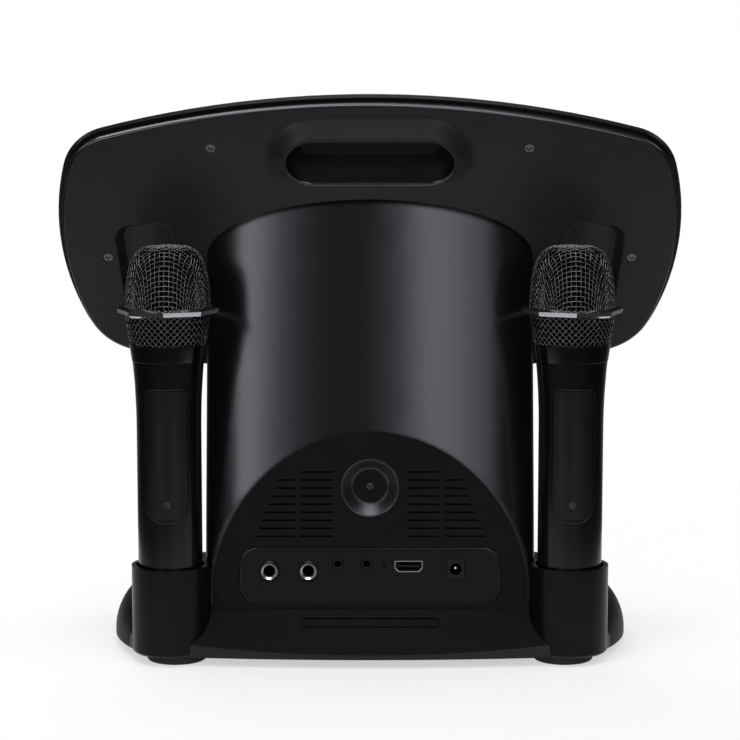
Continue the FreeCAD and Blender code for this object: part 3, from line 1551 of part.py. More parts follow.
def make_mic_board(side, sign):
    """Circuit strip across the handle, with the switch under the power button, and the battery cell."""
    place = mic_place(sign)
    thick = num("board_thick")
    foot = place.multiply(shifted(0, -num("mic_board_offset") - thick / 2, num("mic_board_low")))
    board = slab(f"mic_{side}_strip", ("mic_board_width", "board_thick", "mic_board_length"), foot)
    stem_place = place.multiply(facing(Vec(0, num("switch_stem_y"), num("mic_switch_rise")), AXIS_Y))
    stem = rod(f"mic_{side}_switch_stem", "switch_stem_radius", "switch_stem", stem_place)
    joined(f"mic_{side}_board", [board, stem])
    ties = mic_ties(sign)
    ties["Placement.Base.y"] += " + Sizes.cell_y"
    ties["Placement.Base.z"] += " + Sizes.cell_low"
    turned(f"mic_{side}_battery", [
        (0, 0), ("cell_flat", 0), ("mic_battery_radius", "half_edge"), ("mic_battery_radius", "cell_edge"),
        ("cell_flat", "mic_battery_length"), (0, "mic_battery_length"),
    ], ties=ties)


def dome_curve(inset, low):
    """Grille dome from its rim to its crown: nearly upright sides that turn into a flat top."""
    radius = num("mic_dome_radius") - inset
    high = num("mic_dome") - inset
    steps = 12
    points = []
    for step in range(steps + 1):
        share = math.sin(math.pi / 2 * step / steps)
        width = radius * max(0.0, 1 - share ** 2) ** num("mic_dome_power") if step < steps else 0
        points.append(Vec(width, 0, low + high * share))
    curve = Part.BSplineCurve()
    curve.interpolate(points)
    return curve.toShape()


def dome_solid(inset, low, foot_z):
    """Solid under the dome curve, down to a flat foot."""
    radius = num("mic_dome_radius") - inset
    crown = low + num("mic_dome") - inset
    edges = [dome_curve(inset, low)] + chain([(0, crown), (0, foot_z), (radius, foot_z)])
    if foot_z < low:
        edges.append(line((radius, foot_z), (radius, low)))
    return spun(edges)


def make_mic_head(side, sign):
    """Collar, lower basket, faceted ring, grille dome, foam liner and capsule."""
    place = mic_place(sign)
    ties = mic_ties(sign)
    turned(f"mic_{side}_collar", [
        ("mic_shelf_bore", "mic_handle"), ("mic_collar_low_radius", "mic_handle"),
        ("mic_collar_top_radius", "collar_top"), ("collar_bore", "collar_top"), ("collar_bore", "shelf_top"),
        ("mic_shelf_bore", "shelf_top"),
    ], ties=ties)
    turned(f"mic_{side}_basket", [
        ("basket_low_inner", "collar_top"), ("mic_collar_top_radius", "collar_top"),
        ("mic_basket_top_radius", "ring_low"), ("basket_top_inner", "ring_low"),
    ], ties=ties)
    turned(f"mic_{side}_capsule", [
        (0, "shelf_top"), ("mic_capsule_stem", "shelf_top"), ("mic_capsule_stem", "capsule_low"),
        ("mic_capsule_radius", "capsule_low"), ("mic_capsule_radius", "capsule_high"), (0, "capsule_high"),
    ], ties=ties)
    shaped(f"mic_{side}_ring", mic_ring(), place)
    high = num("ring_high")
    mesh = num("mic_mesh")
    grille = dome_solid(0, high, high).cut(dome_solid(mesh, high, high - mesh))
    shaped(f"mic_{side}_grille", grille, place)
    gap = mesh + num("run_gap")
    hollow = tube(num("mic_foam_bore"), num("mic_dome") / 2, Vec(0, 0, high), AXIS_Z)
    shaped(f"mic_{side}_foam", dome_solid(gap, high, high).cut(hollow), place)


def mic_ring():
    """Many-sided anti-roll ring, bevelled to the grilles from its widest line, a corner to the rear."""
    low = num("ring_low")
    high = num("ring_high")
    widest = num("ring_radius")
    levels = [
        (low, num("ring_foot_radius")),
        (low + num("mic_ring_foot"), widest - num("mic_ring_taper")),
        (high - num("mic_ring_drop"), widest),
        (high, num("ring_top_radius")),
    ]
    solid = Part.makeLoft([many_sided(radius, height) for height, radius in levels], True, True)
    return solid.cut(tube(num("ring_bore"), high - low, Vec(0, 0, low), AXIS_Z))


def many_sided(radius, height):
    """Closed wire of equal sides, its corners at a radius from Z."""
    sides = int(num("mic_ring_sides"))
    angles = [2 * math.pi * step / sides for step in range(sides)]
    corners = [Vec(radius * math.cos(angle), radius * math.sin(angle), height) for angle in angles]
    return Part.makePolygon(corners + corners[:1])


def make_microphones():
    """Two microphones alike, one in each cup."""
    for side, sign in SIDES:
        make_mic_handle(side, sign)
        make_mic_board(side, sign)
        make_mic_head(side, sign)


def write_parts():
    """Checks every object and writes each sub-part to its own file."""
    doc.recompute()
    for item in doc.Objects:
        if "Invalid" in item.State or "Error" in item.State:
            raise RuntimeError(f"{item.Label} did not build: {item.State}")
    for item in parts:
        if item.Shape.isNull() or not item.Shape.isValid():
            raise RuntimeError(f"{item.Label} has no valid shape")
    os.makedirs("parts", exist_ok=True)
    for item in parts:
        item.Shape.exportStep(f"parts/{item.Label}.step")
        print(item.Label, len(item.Shape.Solids), round(item.Shape.Volume))


def main():
    """Builds the console, then the microphones, and writes them."""
    fill_sheet()
    make_base_cover()
    make_base_plate()
    make_rubber_feet()
    make_base_screws()
    make_mic_cups()
    make_buttons()
    make_column_shell()
    make_column_screw()
    make_baffle()
    make_speaker_grille()
    make_woofer()
    make_port_panel()
    make_mic_jacks()
    make_line_jacks()
    make_hdmi()
    make_dc_jack()
    make_reset_button()
    make_port_board()
    make_head_back_cover()
    make_head_bezel()
    make_glass_and_display()
    make_head_frame()
    make_head_board()
    make_head_screws()
    make_microphones()
    write_parts()


main()
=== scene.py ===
"""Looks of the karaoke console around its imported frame: materials, woven and soft pieces, light, camera."""
import json
import math

import bmesh
import bpy
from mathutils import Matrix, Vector
from mathutils.bvhtree import BVHTree
from mathutils.geometry import delaunay_2d_cdt


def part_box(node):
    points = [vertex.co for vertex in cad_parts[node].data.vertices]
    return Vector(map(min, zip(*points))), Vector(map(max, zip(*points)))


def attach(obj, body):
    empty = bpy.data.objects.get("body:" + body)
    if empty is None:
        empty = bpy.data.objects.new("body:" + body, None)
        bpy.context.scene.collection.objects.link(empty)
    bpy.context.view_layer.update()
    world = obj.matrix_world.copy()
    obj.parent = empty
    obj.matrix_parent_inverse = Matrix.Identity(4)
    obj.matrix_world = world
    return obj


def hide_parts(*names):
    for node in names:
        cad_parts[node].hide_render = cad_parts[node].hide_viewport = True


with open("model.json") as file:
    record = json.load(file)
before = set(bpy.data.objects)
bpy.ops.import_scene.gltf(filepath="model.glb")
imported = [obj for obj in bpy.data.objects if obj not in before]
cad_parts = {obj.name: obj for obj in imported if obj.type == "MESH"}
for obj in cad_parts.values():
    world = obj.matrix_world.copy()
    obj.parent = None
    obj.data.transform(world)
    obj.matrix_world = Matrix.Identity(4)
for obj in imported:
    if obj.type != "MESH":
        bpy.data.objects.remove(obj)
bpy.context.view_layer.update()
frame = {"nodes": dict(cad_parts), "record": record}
nodes = frame["nodes"]

MM = 0.001
COOL = (0.87, 0.9, 1.0, 1.0)
SIDES = ("left", "right")
HEAD_ORIGIN = Vector((0, 25.2, 242.3))
HEAD_LEAN = math.radians(24.0)
HEAD_UP = Vector((0, math.sin(HEAD_LEAN), math.cos(HEAD_LEAN)))
HEAD_IN = Vector((0, -math.cos(HEAD_LEAN), math.sin(HEAD_LEAN)))


# Materials

def new_material(name):
    """Empty node material: its tree, its shader and a position input in metres."""
    material = bpy.data.materials.new(name)
    material.use_nodes = True
    tree = material.node_tree
    shader = tree.nodes["Principled BSDF"]
    place = tree.nodes.new("ShaderNodeTexCoord")
    return material, tree, shader, place.outputs["Object"]


def noise(tree, place, scale, detail=2.0, rough=0.5):
    """Noise texture output of a given scale per metre."""
    node = tree.nodes.new("ShaderNodeTexNoise")
    node.inputs["Scale"].default_value = scale
    node.inputs["Detail"].default_value = detail
    node.inputs["Roughness"].default_value = rough
    tree.links.new(place, node.inputs["Vector"])
    return node.outputs["Fac"]


def ranged(tree, value, low, high, start=0.3, end=0.7):
    """Value spread from one range, at first where noise mostly lies, to another."""
    node = tree.nodes.new("ShaderNodeMapRange")
    node.inputs["From Min"].default_value = start
    node.inputs["From Max"].default_value = end
    node.inputs["To Min"].default_value = low
    node.inputs["To Max"].default_value = high
    tree.links.new(value, node.inputs["Value"])
    return node.outputs["Result"]


def blended(tree, factor, first, second):
    """Colour between two by a factor."""
    node = tree.nodes.new("ShaderNodeMix")
    node.data_type = "RGBA"
    tree.links.new(factor, node.inputs["Factor"])
    for name, colour in (("A", first), ("B", second)):
        if isinstance(colour, tuple):
            node.inputs[name].default_value = (*colour, 1)
        else:
            tree.links.new(colour, node.inputs[name])
    return node.outputs["Result"]


def bumped(tree, shader, height, depth, edge=0.0):
    """Bump of a depth in metres on the shader's normal, over edges softened by a radius."""
    node = tree.nodes.new("ShaderNodeBump")
    node.inputs["Distance"].default_value = depth
    node.inputs["Strength"].default_value = 1.0
    tree.links.new(height, node.inputs["Height"])
    tree.links.new(node.outputs["Normal"], shader.inputs["Normal"])
    if edge:
        bevel = tree.nodes.new("ShaderNodeBevel")
        bevel.samples = 2
        bevel.inputs["Radius"].default_value = edge
        tree.links.new(bevel.outputs["Normal"], node.inputs["Normal"])


def shade(colour, factor):
    """Colour made lighter or darker."""
    return tuple(min(1.0, channel * factor) for channel in colour)


def plastic(name, colour, rough, specular, grain=2500.0, depth=0.000006, spread=0.05, edge=0.0):
    """Moulded plastic: fine grain, faint cloudiness in colour and gloss, softened edges."""
    material, tree, shader, place = new_material(name)
    cloud = noise(tree, place, 60.0, 3.0)
    tint = blended(tree, cloud, shade(colour, 0.8), shade(colour, 1.2))
    tree.links.new(tint, shader.inputs["Base Color"])
    gloss = ranged(tree, noise(tree, place, 1400.0, 3.0), rough - spread / 2, rough + spread / 2)
    tree.links.new(gloss, shader.inputs["Roughness"])
    shader.inputs["Specular IOR Level"].default_value = specular
    shader.inputs["Specular Tint"].default_value = COOL
    bumped(tree, shader, noise(tree, place, grain, 2.0), depth, edge)
    return material


def metal(name, colour, rough, scale=(900.0, 900.0, 900.0), depth=0.000003):
    """Plated or bare metal with fine scuffs."""
    material, tree, shader, place = new_material(name)
    stretch = tree.nodes.new("ShaderNodeMapping")
    stretch.inputs["Scale"].default_value = scale
    tree.links.new(place, stretch.inputs["Vector"])
    scuff = noise(tree, stretch.outputs["Vector"], 1.0, 3.0)
    tint = blended(tree, scuff, shade(colour, 0.88), shade(colour, 1.08))
    tree.links.new(tint, shader.inputs["Base Color"])
    tree.links.new(ranged(tree, scuff, rough * 0.7, rough * 1.3), shader.inputs["Roughness"])
    shader.inputs["Metallic"].default_value = 1.0
    bumped(tree, shader, scuff, depth)
    return material


BLACK = (0.003, 0.0031, 0.0034)
DEEP = (0.0015, 0.0015, 0.0017)
COLUMN = plastic("column_satin", BLACK, 0.21, 0.5, depth=0.0000008, spread=0.02, edge=0.003)
DISH = plastic("dish_satin", BLACK, 0.38, 0.8, depth=0.0000008, spread=0.02, edge=0.0025)
BEZEL = plastic("bezel_black", BLACK, 0.35, 0.12, edge=0.0003)
MATTE = plastic("matte_black", (0.0095, 0.0098, 0.0106), 0.43, 0.2, depth=0.000003)
# Darker black for the walls and floor deep in the handle pocket: painted shade in the recess, with less gloss
# as well.
POCKET_PAINTED_SHADE = plastic("pocket_painted_shade", (0.005, 0.0052, 0.0056), 0.5, 0.08, depth=0.000003)
RIM = plastic("rim_satin", BLACK, 0.25, 0.8, depth=0.0000008, spread=0.02)
PORT = plastic("port_black", BLACK, 0.5, 0.09)
PANEL = plastic("panel_black", BLACK, 0.42, 0.14, edge=0.0003)
BASE = plastic("base_black", DEEP, 0.45, 0.055, depth=0.000004, edge=0.0004)
LIP = plastic("lip_satin", BLACK, 0.3, 0.3, edge=0.0004)
CUP = plastic("cup_black", BLACK, 0.3, 0.11, edge=0.0003)
MOULDED = plastic("moulded_black", (0.004, 0.004, 0.004), 0.5, 0.2)
MIC_SATIN = plastic("mic_satin_black", BLACK, 0.34, 0.28, edge=0.0003)
MIC_GLOSS = plastic("mic_gloss_black", DEEP, 0.22, 0.3, depth=0.0000005, spread=0.02, edge=0.0004)
GLOSS = plastic("gloss_black", DEEP, 0.1, 0.4, depth=0.0000005, spread=0.02, edge=0.0005)
WIRE = metal("grille_black", (0.145, 0.145, 0.15), 0.25, depth=0.0000005)
DISPLAY = metal("display_grey", (0.25, 0.26, 0.27), 0.45)
SHEET = metal("sheet_steel", (0.45, 0.46, 0.47), 0.35)
DARK_STEEL = metal("dark_steel", (0.1, 0.1, 0.104), 0.28)
DARK_CHROME = metal("dark_chrome", (0.42, 0.43, 0.45), 0.07, depth=0.000001)
SOCKET_STEEL = metal("socket_steel", (0.24, 0.24, 0.25), 0.3)
CHROME = metal("chrome_ring", (0.75, 0.76, 0.78), 0.14)


def ringed_chrome():
    """Bright bushing with a black nut round it, told apart by the distance from each socket's axis."""
    material, tree, shader, place = new_material("mic_socket_chrome")
    gaps = []
    for x in MIC_SOCKET_XS:
        away = tree.nodes.new("ShaderNodeVectorMath")
        away.operation = "SUBTRACT"
        away.inputs[1].default_value = (x * MM, 0, MIC_SOCKET_Z * MM)
        flat = tree.nodes.new("ShaderNodeVectorMath")
        flat.operation = "MULTIPLY"
        flat.inputs[1].default_value = (1, 0, 1)
        length = tree.nodes.new("ShaderNodeVectorMath")
        length.operation = "LENGTH"
        tree.links.new(place, away.inputs[0])
        tree.links.new(away.outputs["Vector"], flat.inputs[0])
        tree.links.new(flat.outputs["Vector"], length.inputs[0])
        gaps.append(length.outputs["Value"])
    nearest = tree.nodes.new("ShaderNodeMath")
    nearest.operation = "MINIMUM"
    for socket, gap in zip(nearest.inputs, gaps):
        tree.links.new(gap, socket)
    inner = ranged(tree, nearest.outputs["Value"], 1.0, 0.0, NUT_START * MM, (NUT_START + NUT_FADE) * MM)
    scuff = noise(tree, place, 900.0, 3.0)
    bright = blended(tree, scuff, (0.62, 0.63, 0.65), (0.78, 0.79, 0.81))
    tree.links.new(blended(tree, inner, (0.004, 0.004, 0.0044), bright), shader.inputs["Base Color"])
    tree.links.new(inner, shader.inputs["Metallic"])
    tree.links.new(ranged(tree, inner, 0.35, 0.3, 0.0, 1.0), shader.inputs["Roughness"])
    shader.inputs["Specular IOR Level"].default_value = 0.2
    bumped(tree, shader, scuff, 0.000001)
    return material


def display_glass():
    """Black glass over a display that is switched off, its picture area a little paler than its border."""
    material, tree, shader, place = new_material("display_glass")
    away = tree.nodes.new("ShaderNodeVectorMath")
    away.operation = "SUBTRACT"
    away.inputs[1].default_value = HEAD_ORIGIN * MM
    tree.links.new(place, away.inputs[0])
    shares = []
    spans = ((Vector((1, 0, 0)), 0.0, DISPLAY_HALF_WIDTH), (HEAD_UP, -DISPLAY_DROP, DISPLAY_HALF_HEIGHT))
    for direction, middle, half in spans:
        run = tree.nodes.new("ShaderNodeVectorMath")
        run.operation = "DOT_PRODUCT"
        run.inputs[1].default_value = direction
        tree.links.new(away.outputs["Vector"], run.inputs[0])
        gap = tree.nodes.new("ShaderNodeMath")
        gap.operation = "SUBTRACT"
        gap.inputs[1].default_value = middle * MM
        tree.links.new(run.outputs["Value"], gap.inputs[0])
        size = tree.nodes.new("ShaderNodeMath")
        size.operation = "ABSOLUTE"
        tree.links.new(gap.outputs["Value"], size.inputs[0])
        shares.append(ranged(tree, size.outputs["Value"], 1.0, 0.0, (half - DISPLAY_FADE) * MM, half * MM))
    inside = tree.nodes.new("ShaderNodeMath")
    inside.operation = "MULTIPLY"
    for socket, share in zip(inside.inputs, shares):
        tree.links.new(share, socket)
    colour = blended(tree, inside.outputs["Value"], (0.002, 0.002, 0.0022), (0.012, 0.0125, 0.014))
    tree.links.new(colour, shader.inputs["Base Color"])
    smear = noise(tree, place, 25.0, 3.0)
    tree.links.new(ranged(tree, smear, 0.03, 0.07), shader.inputs["Roughness"])
    bumped(tree, shader, smear, 0.0000005)
    return material


MIC_SOCKET_XS = (53.4, 32.7)
MIC_SOCKET_Z = 46.4
NUT_START = 4.2
NUT_FADE = 0.05
DISPLAY_HALF_WIDTH = 102.0
DISPLAY_HALF_HEIGHT = 58.0
DISPLAY_DROP = 28.5
DISPLAY_FADE = 0.3
MIC_SOCKET = ringed_chrome()
GLASS = display_glass()
BOARD = plastic("circuit_green", (0.02, 0.12, 0.05), 0.4, 0.4)
PAPER = plastic("cone_paper", (0.02, 0.02, 0.02), 0.8, 0.3, grain=1500.0, depth=0.0001)
RUBBER = plastic("rubber_black", (0.012, 0.012, 0.012), 0.65, 0.25, grain=1800.0, depth=0.00003)
FOAM = plastic("foam_black", DEEP, 0.9, 0.02, grain=1600.0, depth=0.0004)
CELL = plastic("cell_wrap", (0.05, 0.16, 0.30), 0.3, 0.5)
PRINT = plastic("pale_print", (0.55, 0.56, 0.57), 0.5, 0.3)

SLOT_MATERIALS = {
    "satin_black": COLUMN, "matte_black": MATTE, "panel_black": PANEL, "cup_black": CUP,
    "moulded_black": MOULDED, "mic_black": MIC_SATIN, "gloss_black": GLOSS, "grille_black": WIRE,
    "black_glass": GLASS, "display_grey": DISPLAY, "sheet_steel": SHEET, "dark_steel": DARK_STEEL,
    "chrome_ring": CHROME, "dark_chrome": DARK_CHROME, "circuit_green": BOARD, "cone_paper": PAPER,
    "rubber_black": RUBBER, "foam_black": FOAM, "cell_wrap": CELL,
}


def paint(item, material):
    """Gives an object one material."""
    item.data.materials.clear()
    item.data.materials.append(material)


for row in frame["record"]["subparts"]:
    paint(nodes[row["node"]], SLOT_MATERIALS[row["material_slot"]])
for side in SIDES:
    paint(nodes[f"mic_{side}_body"], MIC_GLOSS)
paint(nodes["head_bezel"], BEZEL)
paint(nodes["base_cover"], BASE)
paint(nodes["mic_jack_bushings"], MIC_SOCKET)
paint(nodes["hdmi_shell"], SOCKET_STEEL)


# Building blocks

def piece_from(name, mesh, material, body, smooth=True):
    """Object made from a mesh builder, painted and riding on a body."""
    data = bpy.data.meshes.new(name)
    mesh.to_mesh(data)
    mesh.free()
    return finished(name, data, material, body, smooth)


def finished(name, data, material, body, smooth=True):
    """Object made from mesh data, painted and riding on a body."""
    for face in data.polygons:
        face.use_smooth = smooth
    item = bpy.data.objects.new(name, data)
    bpy.context.scene.collection.objects.link(item)
    paint(item, material)
    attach(item, body)
    return item


def wires(name, paths, radius):
    """Mesh of round wires along smooth paths of points in metres."""
    curve = bpy.data.curves.new(name + "_paths", "CURVE")
    curve.dimensions = "3D"
    curve.bevel_depth = radius
    curve.bevel_resolution = 1
    curve.resolution_u = 2
    curve.use_fill_caps = True
    for path in paths:
        spline = curve.splines.new("NURBS")
        spline.points.add(len(path) - 1)
        for point, place in zip(spline.points, path):
            point.co = (*place, 1)
        spline.order_u = 3
        spline.use_endpoint_u = True
    holder = bpy.data.objects.new(name + "_paths", curve)
    bpy.context.scene.collection.objects.link(holder)
    bpy.context.view_layer.update()
    data = bpy.data.meshes.new_from_object(holder.evaluated_get(bpy.context.evaluated_depsgraph_get()))
    bpy.data.objects.remove(holder)
    bpy.data.curves.remove(curve)
    data.name = name
    return data


def eased(share):
    """Eased step from 0 to 1."""
    share = min(1.0, max(0.0, share))
    return share * share * (3 - 2 * share)


# Microphone heads: draped net over the dome, diamond net below the ring, foam behind both

NET_PITCH = 2.6
NET_WIRE = 0.21
NET_DIP = 0.34
NET_SLACK = 0.25
NET_EASE = 0.45
NET_TUCK = 1.5
NET_LAP = 0.2
DOME_POWER = 0.2
DOME_STEPS = 60
BASKET_WIRES = 40
BASKET_STEPS = 9
FOAM_STEPS = 14
FOAM_SEGMENTS = 64
FOAM_GAP = 0.3
FOAM_FOOT_INSET = 3.5
FOAM_LOW_INSET = 1.2
FOAM_HIGH_INSET = 1.3
FOAM_NECK_INSET = 2.0


def dome_profile(radius, height):
    """Points of the dome's half section from its crown down, each with its run, and a tube below its foot."""
    profile = []
    for step in range(DOME_STEPS + 1):
        share = math.cos(math.pi / 2 * step / DOME_STEPS)
        wide = radius * (1 - share ** 2) ** DOME_POWER
        profile.append(Vector((wide if step else 0, height * share)))
    profile.append(Vector((radius, -height)))
    runs = [0.0]
    for first, second in zip(profile, profile[1:]):
        runs.append(runs[-1] + (second - first).length)
    return profile, runs


def along_profile(profile, runs, run):
    """Point of the half section at a run from the crown, and the direction away from the dome there."""
    index = 1
    while runs[index] < run:
        index += 1
    first, second = profile[index - 1], profile[index]
    ahead = (second - first).normalized()
    return first + ahead * (run - runs[index - 1]), Vector((-ahead.y, ahead.x))


def net_point(profile, runs, along, across):
    """Point of a square net pressed over the dome, and the direction away from it; None below the foot.

    Wires keep their pitch on the four faces of the net and crowd together at its diagonals.
    """
    long = max(abs(along), abs(across))
    short = min(abs(along), abs(across))
    share = short / long if long else 0.0
    run = NET_PITCH * math.hypot(along, across) * (1 + NET_SLACK * share ** 2)
    if run >= runs[-1]:
        return None
    spot, out = along_profile(profile, runs, run)
    steep = 4 / math.pi * run / spot.x if long else 1.0
    crowd = (steep - NET_EASE) / (1 - NET_EASE)
    turn = math.pi / 4 * (NET_EASE * share + (1 - NET_EASE) * (1 - (1 - share) ** crowd))
    if abs(across) > abs(along):
        turn = math.pi / 2 - turn
    ahead = Vector((math.copysign(math.cos(turn), along), math.copysign(math.sin(turn), across), 0))
    return ahead * spot.x + Vector((0, 0, spot.y)), ahead * out.x + Vector((0, 0, out.y))


def net_paths(centre, low, radius, height):
    """Wires of the net, passing over and under each other, in metres."""
    profile, runs = dome_profile(radius, height)
    reach = math.ceil(runs[-1] / NET_PITCH)
    paths = []
    for turned in (False, True):
        for row in range(-reach, reach + 1):
            path = []
            for step in range(-reach, reach + 1):
                found = net_point(profile, runs, *((row, step) if turned else (step, row)))
                if found is None or found[0].z < -NET_TUCK:
                    path = end_wire(paths, path)
                    continue
                point, out = found
                over = 1 if (row + step + turned) % 2 else -1
                path.append((centre + point + out * NET_DIP * over + Vector((0, 0, low))) * MM)
            end_wire(paths, path)
    return paths


def end_wire(paths, path):
    """Keeps a wire of at least three points and starts the next one."""
    if len(path) > 2:
        paths.append(path)
    return []


def basket_paths(centre, low, high, low_radius, high_radius):
    """Two sets of slanting wires round the cone below the ring, in metres."""
    paths = []
    for way in (-1, 1):
        for wire in range(BASKET_WIRES):
            path = []
            for step in range(BASKET_STEPS + 1):
                share = step / BASKET_STEPS
                angle = math.pi / BASKET_WIRES * (2 * wire + way * step)
                over = NET_DIP if (step + (way > 0)) % 2 else -NET_DIP
                radius = low_radius + (high_radius - low_radius) * share + over
                level = low + (high - low) * share
                spot = Vector((radius * math.cos(angle), radius * math.sin(angle), level))
                path.append((centre + spot) * MM)
            paths.append(path)
    return paths


def turned_mesh(profile, centre, segments):
    """Mesh turned about an upright axis from points of radius and height in millimetres."""
    mesh = bmesh.new()
    rings = []
    for radius, height in profile:
        if radius == 0:
            rings.append([mesh.verts.new((centre + Vector((0, 0, height))) * MM)] * segments)
            continue
        ring = []
        for step in range(segments):
            angle = 2 * math.pi * step / segments
            spot = Vector((radius * math.cos(angle), radius * math.sin(angle), height))
            ring.append(mesh.verts.new((centre + spot) * MM))
        rings.append(ring)
    for lower, upper in zip(rings, rings[1:]):
        for step in range(segments):
            after = (step + 1) % segments
            corners = [lower[step], lower[after], upper[after], upper[step]]
            mesh.faces.new(list(dict.fromkeys(corners)))
    return mesh


def make_mic_heads():
    """Woven grille, woven basket and foam of each microphone."""
    for side in SIDES:
        body = f"mic_{side}"
        low, high = (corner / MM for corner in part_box(f"mic_{side}_grille"))
        centre = Vector(((low.x + high.x) / 2, (low.y + high.y) / 2, 0))
        skin = NET_WIRE + NET_DIP
        radius = (high.x - low.x) / 2 - skin
        height = high.z - low.z - skin
        data = wires(f"mic_{side}_net", net_paths(centre, low.z, radius, height), NET_WIRE * MM)
        net = finished(f"mic_{side}_net", data, WIRE, body)
        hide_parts(f"mic_{side}_grille")

        under, over = (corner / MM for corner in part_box(f"mic_{side}_basket"))
        collar_low, collar_high = (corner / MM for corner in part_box(f"mic_{side}_collar"))
        low_radius = (collar_high.x - collar_low.x) / 2 - skin
        high_radius = (over.x - under.x) / 2 - skin
        paths = basket_paths(centre, under.z - NET_LAP, over.z + NET_LAP, low_radius, high_radius)
        data = wires(f"mic_{side}_basket_net", paths, NET_WIRE * MM)
        net = finished(f"mic_{side}_basket_net", data, WIRE, body)
        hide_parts(f"mic_{side}_basket")

        inset = 2 * skin
        profile = [
            (low_radius - FOAM_FOOT_INSET, under.z + NET_LAP),
            (low_radius - FOAM_LOW_INSET, under.z + FOAM_GAP),
            (high_radius - FOAM_HIGH_INSET, over.z - FOAM_GAP),
            (high_radius - FOAM_NECK_INSET, low.z - NET_LAP),
        ]
        for step in range(1, FOAM_STEPS + 1):
            share = math.sin(math.pi / 2 * step / FOAM_STEPS)
            wide = (radius - inset) * (1 - share ** 2) ** DOME_POWER if step < FOAM_STEPS else 0
            profile.append((wide, low.z + (height - inset) * share))
        mesh = turned_mesh(profile, centre, FOAM_SEGMENTS)
        foam = piece_from(f"mic_{side}_foam_liner", mesh, FOAM, body)
        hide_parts(f"mic_{side}_foam")


make_mic_heads()


# Raised rims round the battery doors

RIM_WIRE = 0.28
RIM_ASIDE = 0.85
RIM_UNDER = 1.8
RIM_HEAD_CORNER = 4.2
RIM_FOOT_CORNER = 9.2
RIM_STEP = 1.5
RIM_CORNER_STEPS = 9
RIM_RAY_START = 200.0


def rim_outline(low, high):
    """Closed rounded outline round a battery door, as close points across and up."""
    corners = []
    for right, top, start in ((1, 1, 0), (0, 1, 90), (0, 0, 180), (1, 0, 270)):
        corner = RIM_HEAD_CORNER if top else RIM_FOOT_CORNER
        x = high.x + RIM_ASIDE - corner if right else low.x - RIM_ASIDE + corner
        z = high.z + RIM_ASIDE - corner if top else low.z - RIM_UNDER + corner
        for step in range(RIM_CORNER_STEPS + 1):
            turn = math.radians(start + 90 * step / RIM_CORNER_STEPS)
            corners.append(Vector((x + corner * math.cos(turn), z + corner * math.sin(turn))))
    corners.append(corners[0])
    outline = []
    for first, second in zip(corners, corners[1:]):
        parts = max(1, math.ceil((second - first).length / RIM_STEP))
        outline += [first.lerp(second, part / parts) for part in range(parts)]
    outline.append(corners[-1])
    return outline


def make_door_rims():
    """Fine half-round rim on each handle's surface, which follows the outline of its battery door."""
    for side in SIDES:
        handle = nodes[f"mic_{side}_body"]
        places = [handle.matrix_world @ vertex.co for vertex in handle.data.vertices]
        surface = BVHTree.FromPolygons(places, [tuple(face.vertices) for face in handle.data.polygons])
        low, high = (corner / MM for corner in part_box(f"mic_{side}_battery_door"))
        path = []
        for x, z in rim_outline(low, high):
            start = Vector((x, RIM_RAY_START, z)) * MM
            path.append(surface.ray_cast(start, Vector((0, -1, 0)))[0])
        data = wires(f"mic_{side}_door_rim", [path], RIM_WIRE * MM)
        finished(f"mic_{side}_door_rim", data, MIC_SATIN, f"mic_{side}")


make_door_rims()


# Head back: one smooth moulded skin with the hood, handle pocket, scoops and screw wells

HEAD_ARCS = {"side": 167.1, "side_radius": 138.0, "side_y": -19.6}
HEAD_ENDS = (("upper", 1, 57.1, 530.0, 30.0), ("lower", -1, 113.9, 490.0, 36.0))
COVER_INSET = 2.8
COVER_THICK = 5.5
COVER_ROUND = 1.2
COVER_ROUND_STEPS = 4
WIDE_STEPS = 40
CORNER_STEPS = 24
POCKET = (43.3, 9.0, 35.6)
POCKET_DEPTH = 12.0
POCKET_SLOPES = (6.0, 11.3, 1.5)
RIM_ROUND = 1.1
HOOD_HEIGHT = 8.0
HOOD_REACH = 11.5
HOOD_START = 4.0
SCOOP_HALF = 15.5
SCOOP_LENGTH = 64.0
SCOOP_CORNER = 9.0
SCOOP_DEPTH = 5.0
SCOOP_SIDE = 4.0
SCOOP_PLACE = (121.5, -15.0)
SCOOP_SPLAY = math.radians(5.0)
SCOOP_FOOT_ROUND = 1.2
SCOOP_EDGE_ROUND = 0.8
HEAD_SCREWS = ((83.55, 29.2), (141.0, -35.8))
SCREW_WELL = 2.7
SCREW_SINK = 2.3
HOOD_RINGS = (13.0, 11.5, 10, 8.5, 7, 5.5, 4.2, 3.2, 2.4, 1.7, 1.2, 0.8, 0.5, 0.2,
              -0.1, -0.4, -0.7, -1.0, -1.3)
POCKET_RINGS = (0.15, 0.22, 0.3, 0.4, 0.5, 0.6, 0.7, 0.8, 0.88, 0.94, 0.98, 1.0)
FLOOR_RINGS = (-0.4, -1.2, -3.0)
SCOOP_RINGS = (1.0, 0.6, 0.3, 0.0, -0.3, -0.6, -1.0, -1.5, -2.0, -2.5, -3.0, -3.4, -3.8, -4.3, -5.0)
SCREW_RINGS = (0.5, 0.25, 0.02, -0.02, -0.3)
SCOOP_GRID = 1.2
SCOOP_GRID_EDGE = -5.6


def head_point(across, up, inward):
    """Point of the head's plane in metres."""
    return (HEAD_ORIGIN + Vector((across, 0, 0)) + HEAD_UP * up + HEAD_IN * inward) * MM


def head_place(point):
    """Place across and up the head's plane of a point in metres."""
    away = point / MM - HEAD_ORIGIN
    return away.x, away.dot(HEAD_UP)


def arc_points(centre, radius, start, end, count):
    """Points of an arc between two angles, without its last point."""
    found = []
    for step in range(count):
        angle = start + (end - start) * step / count
        found.append((centre[0] + radius * math.cos(angle), centre[1] + radius * math.sin(angle)))
    return found


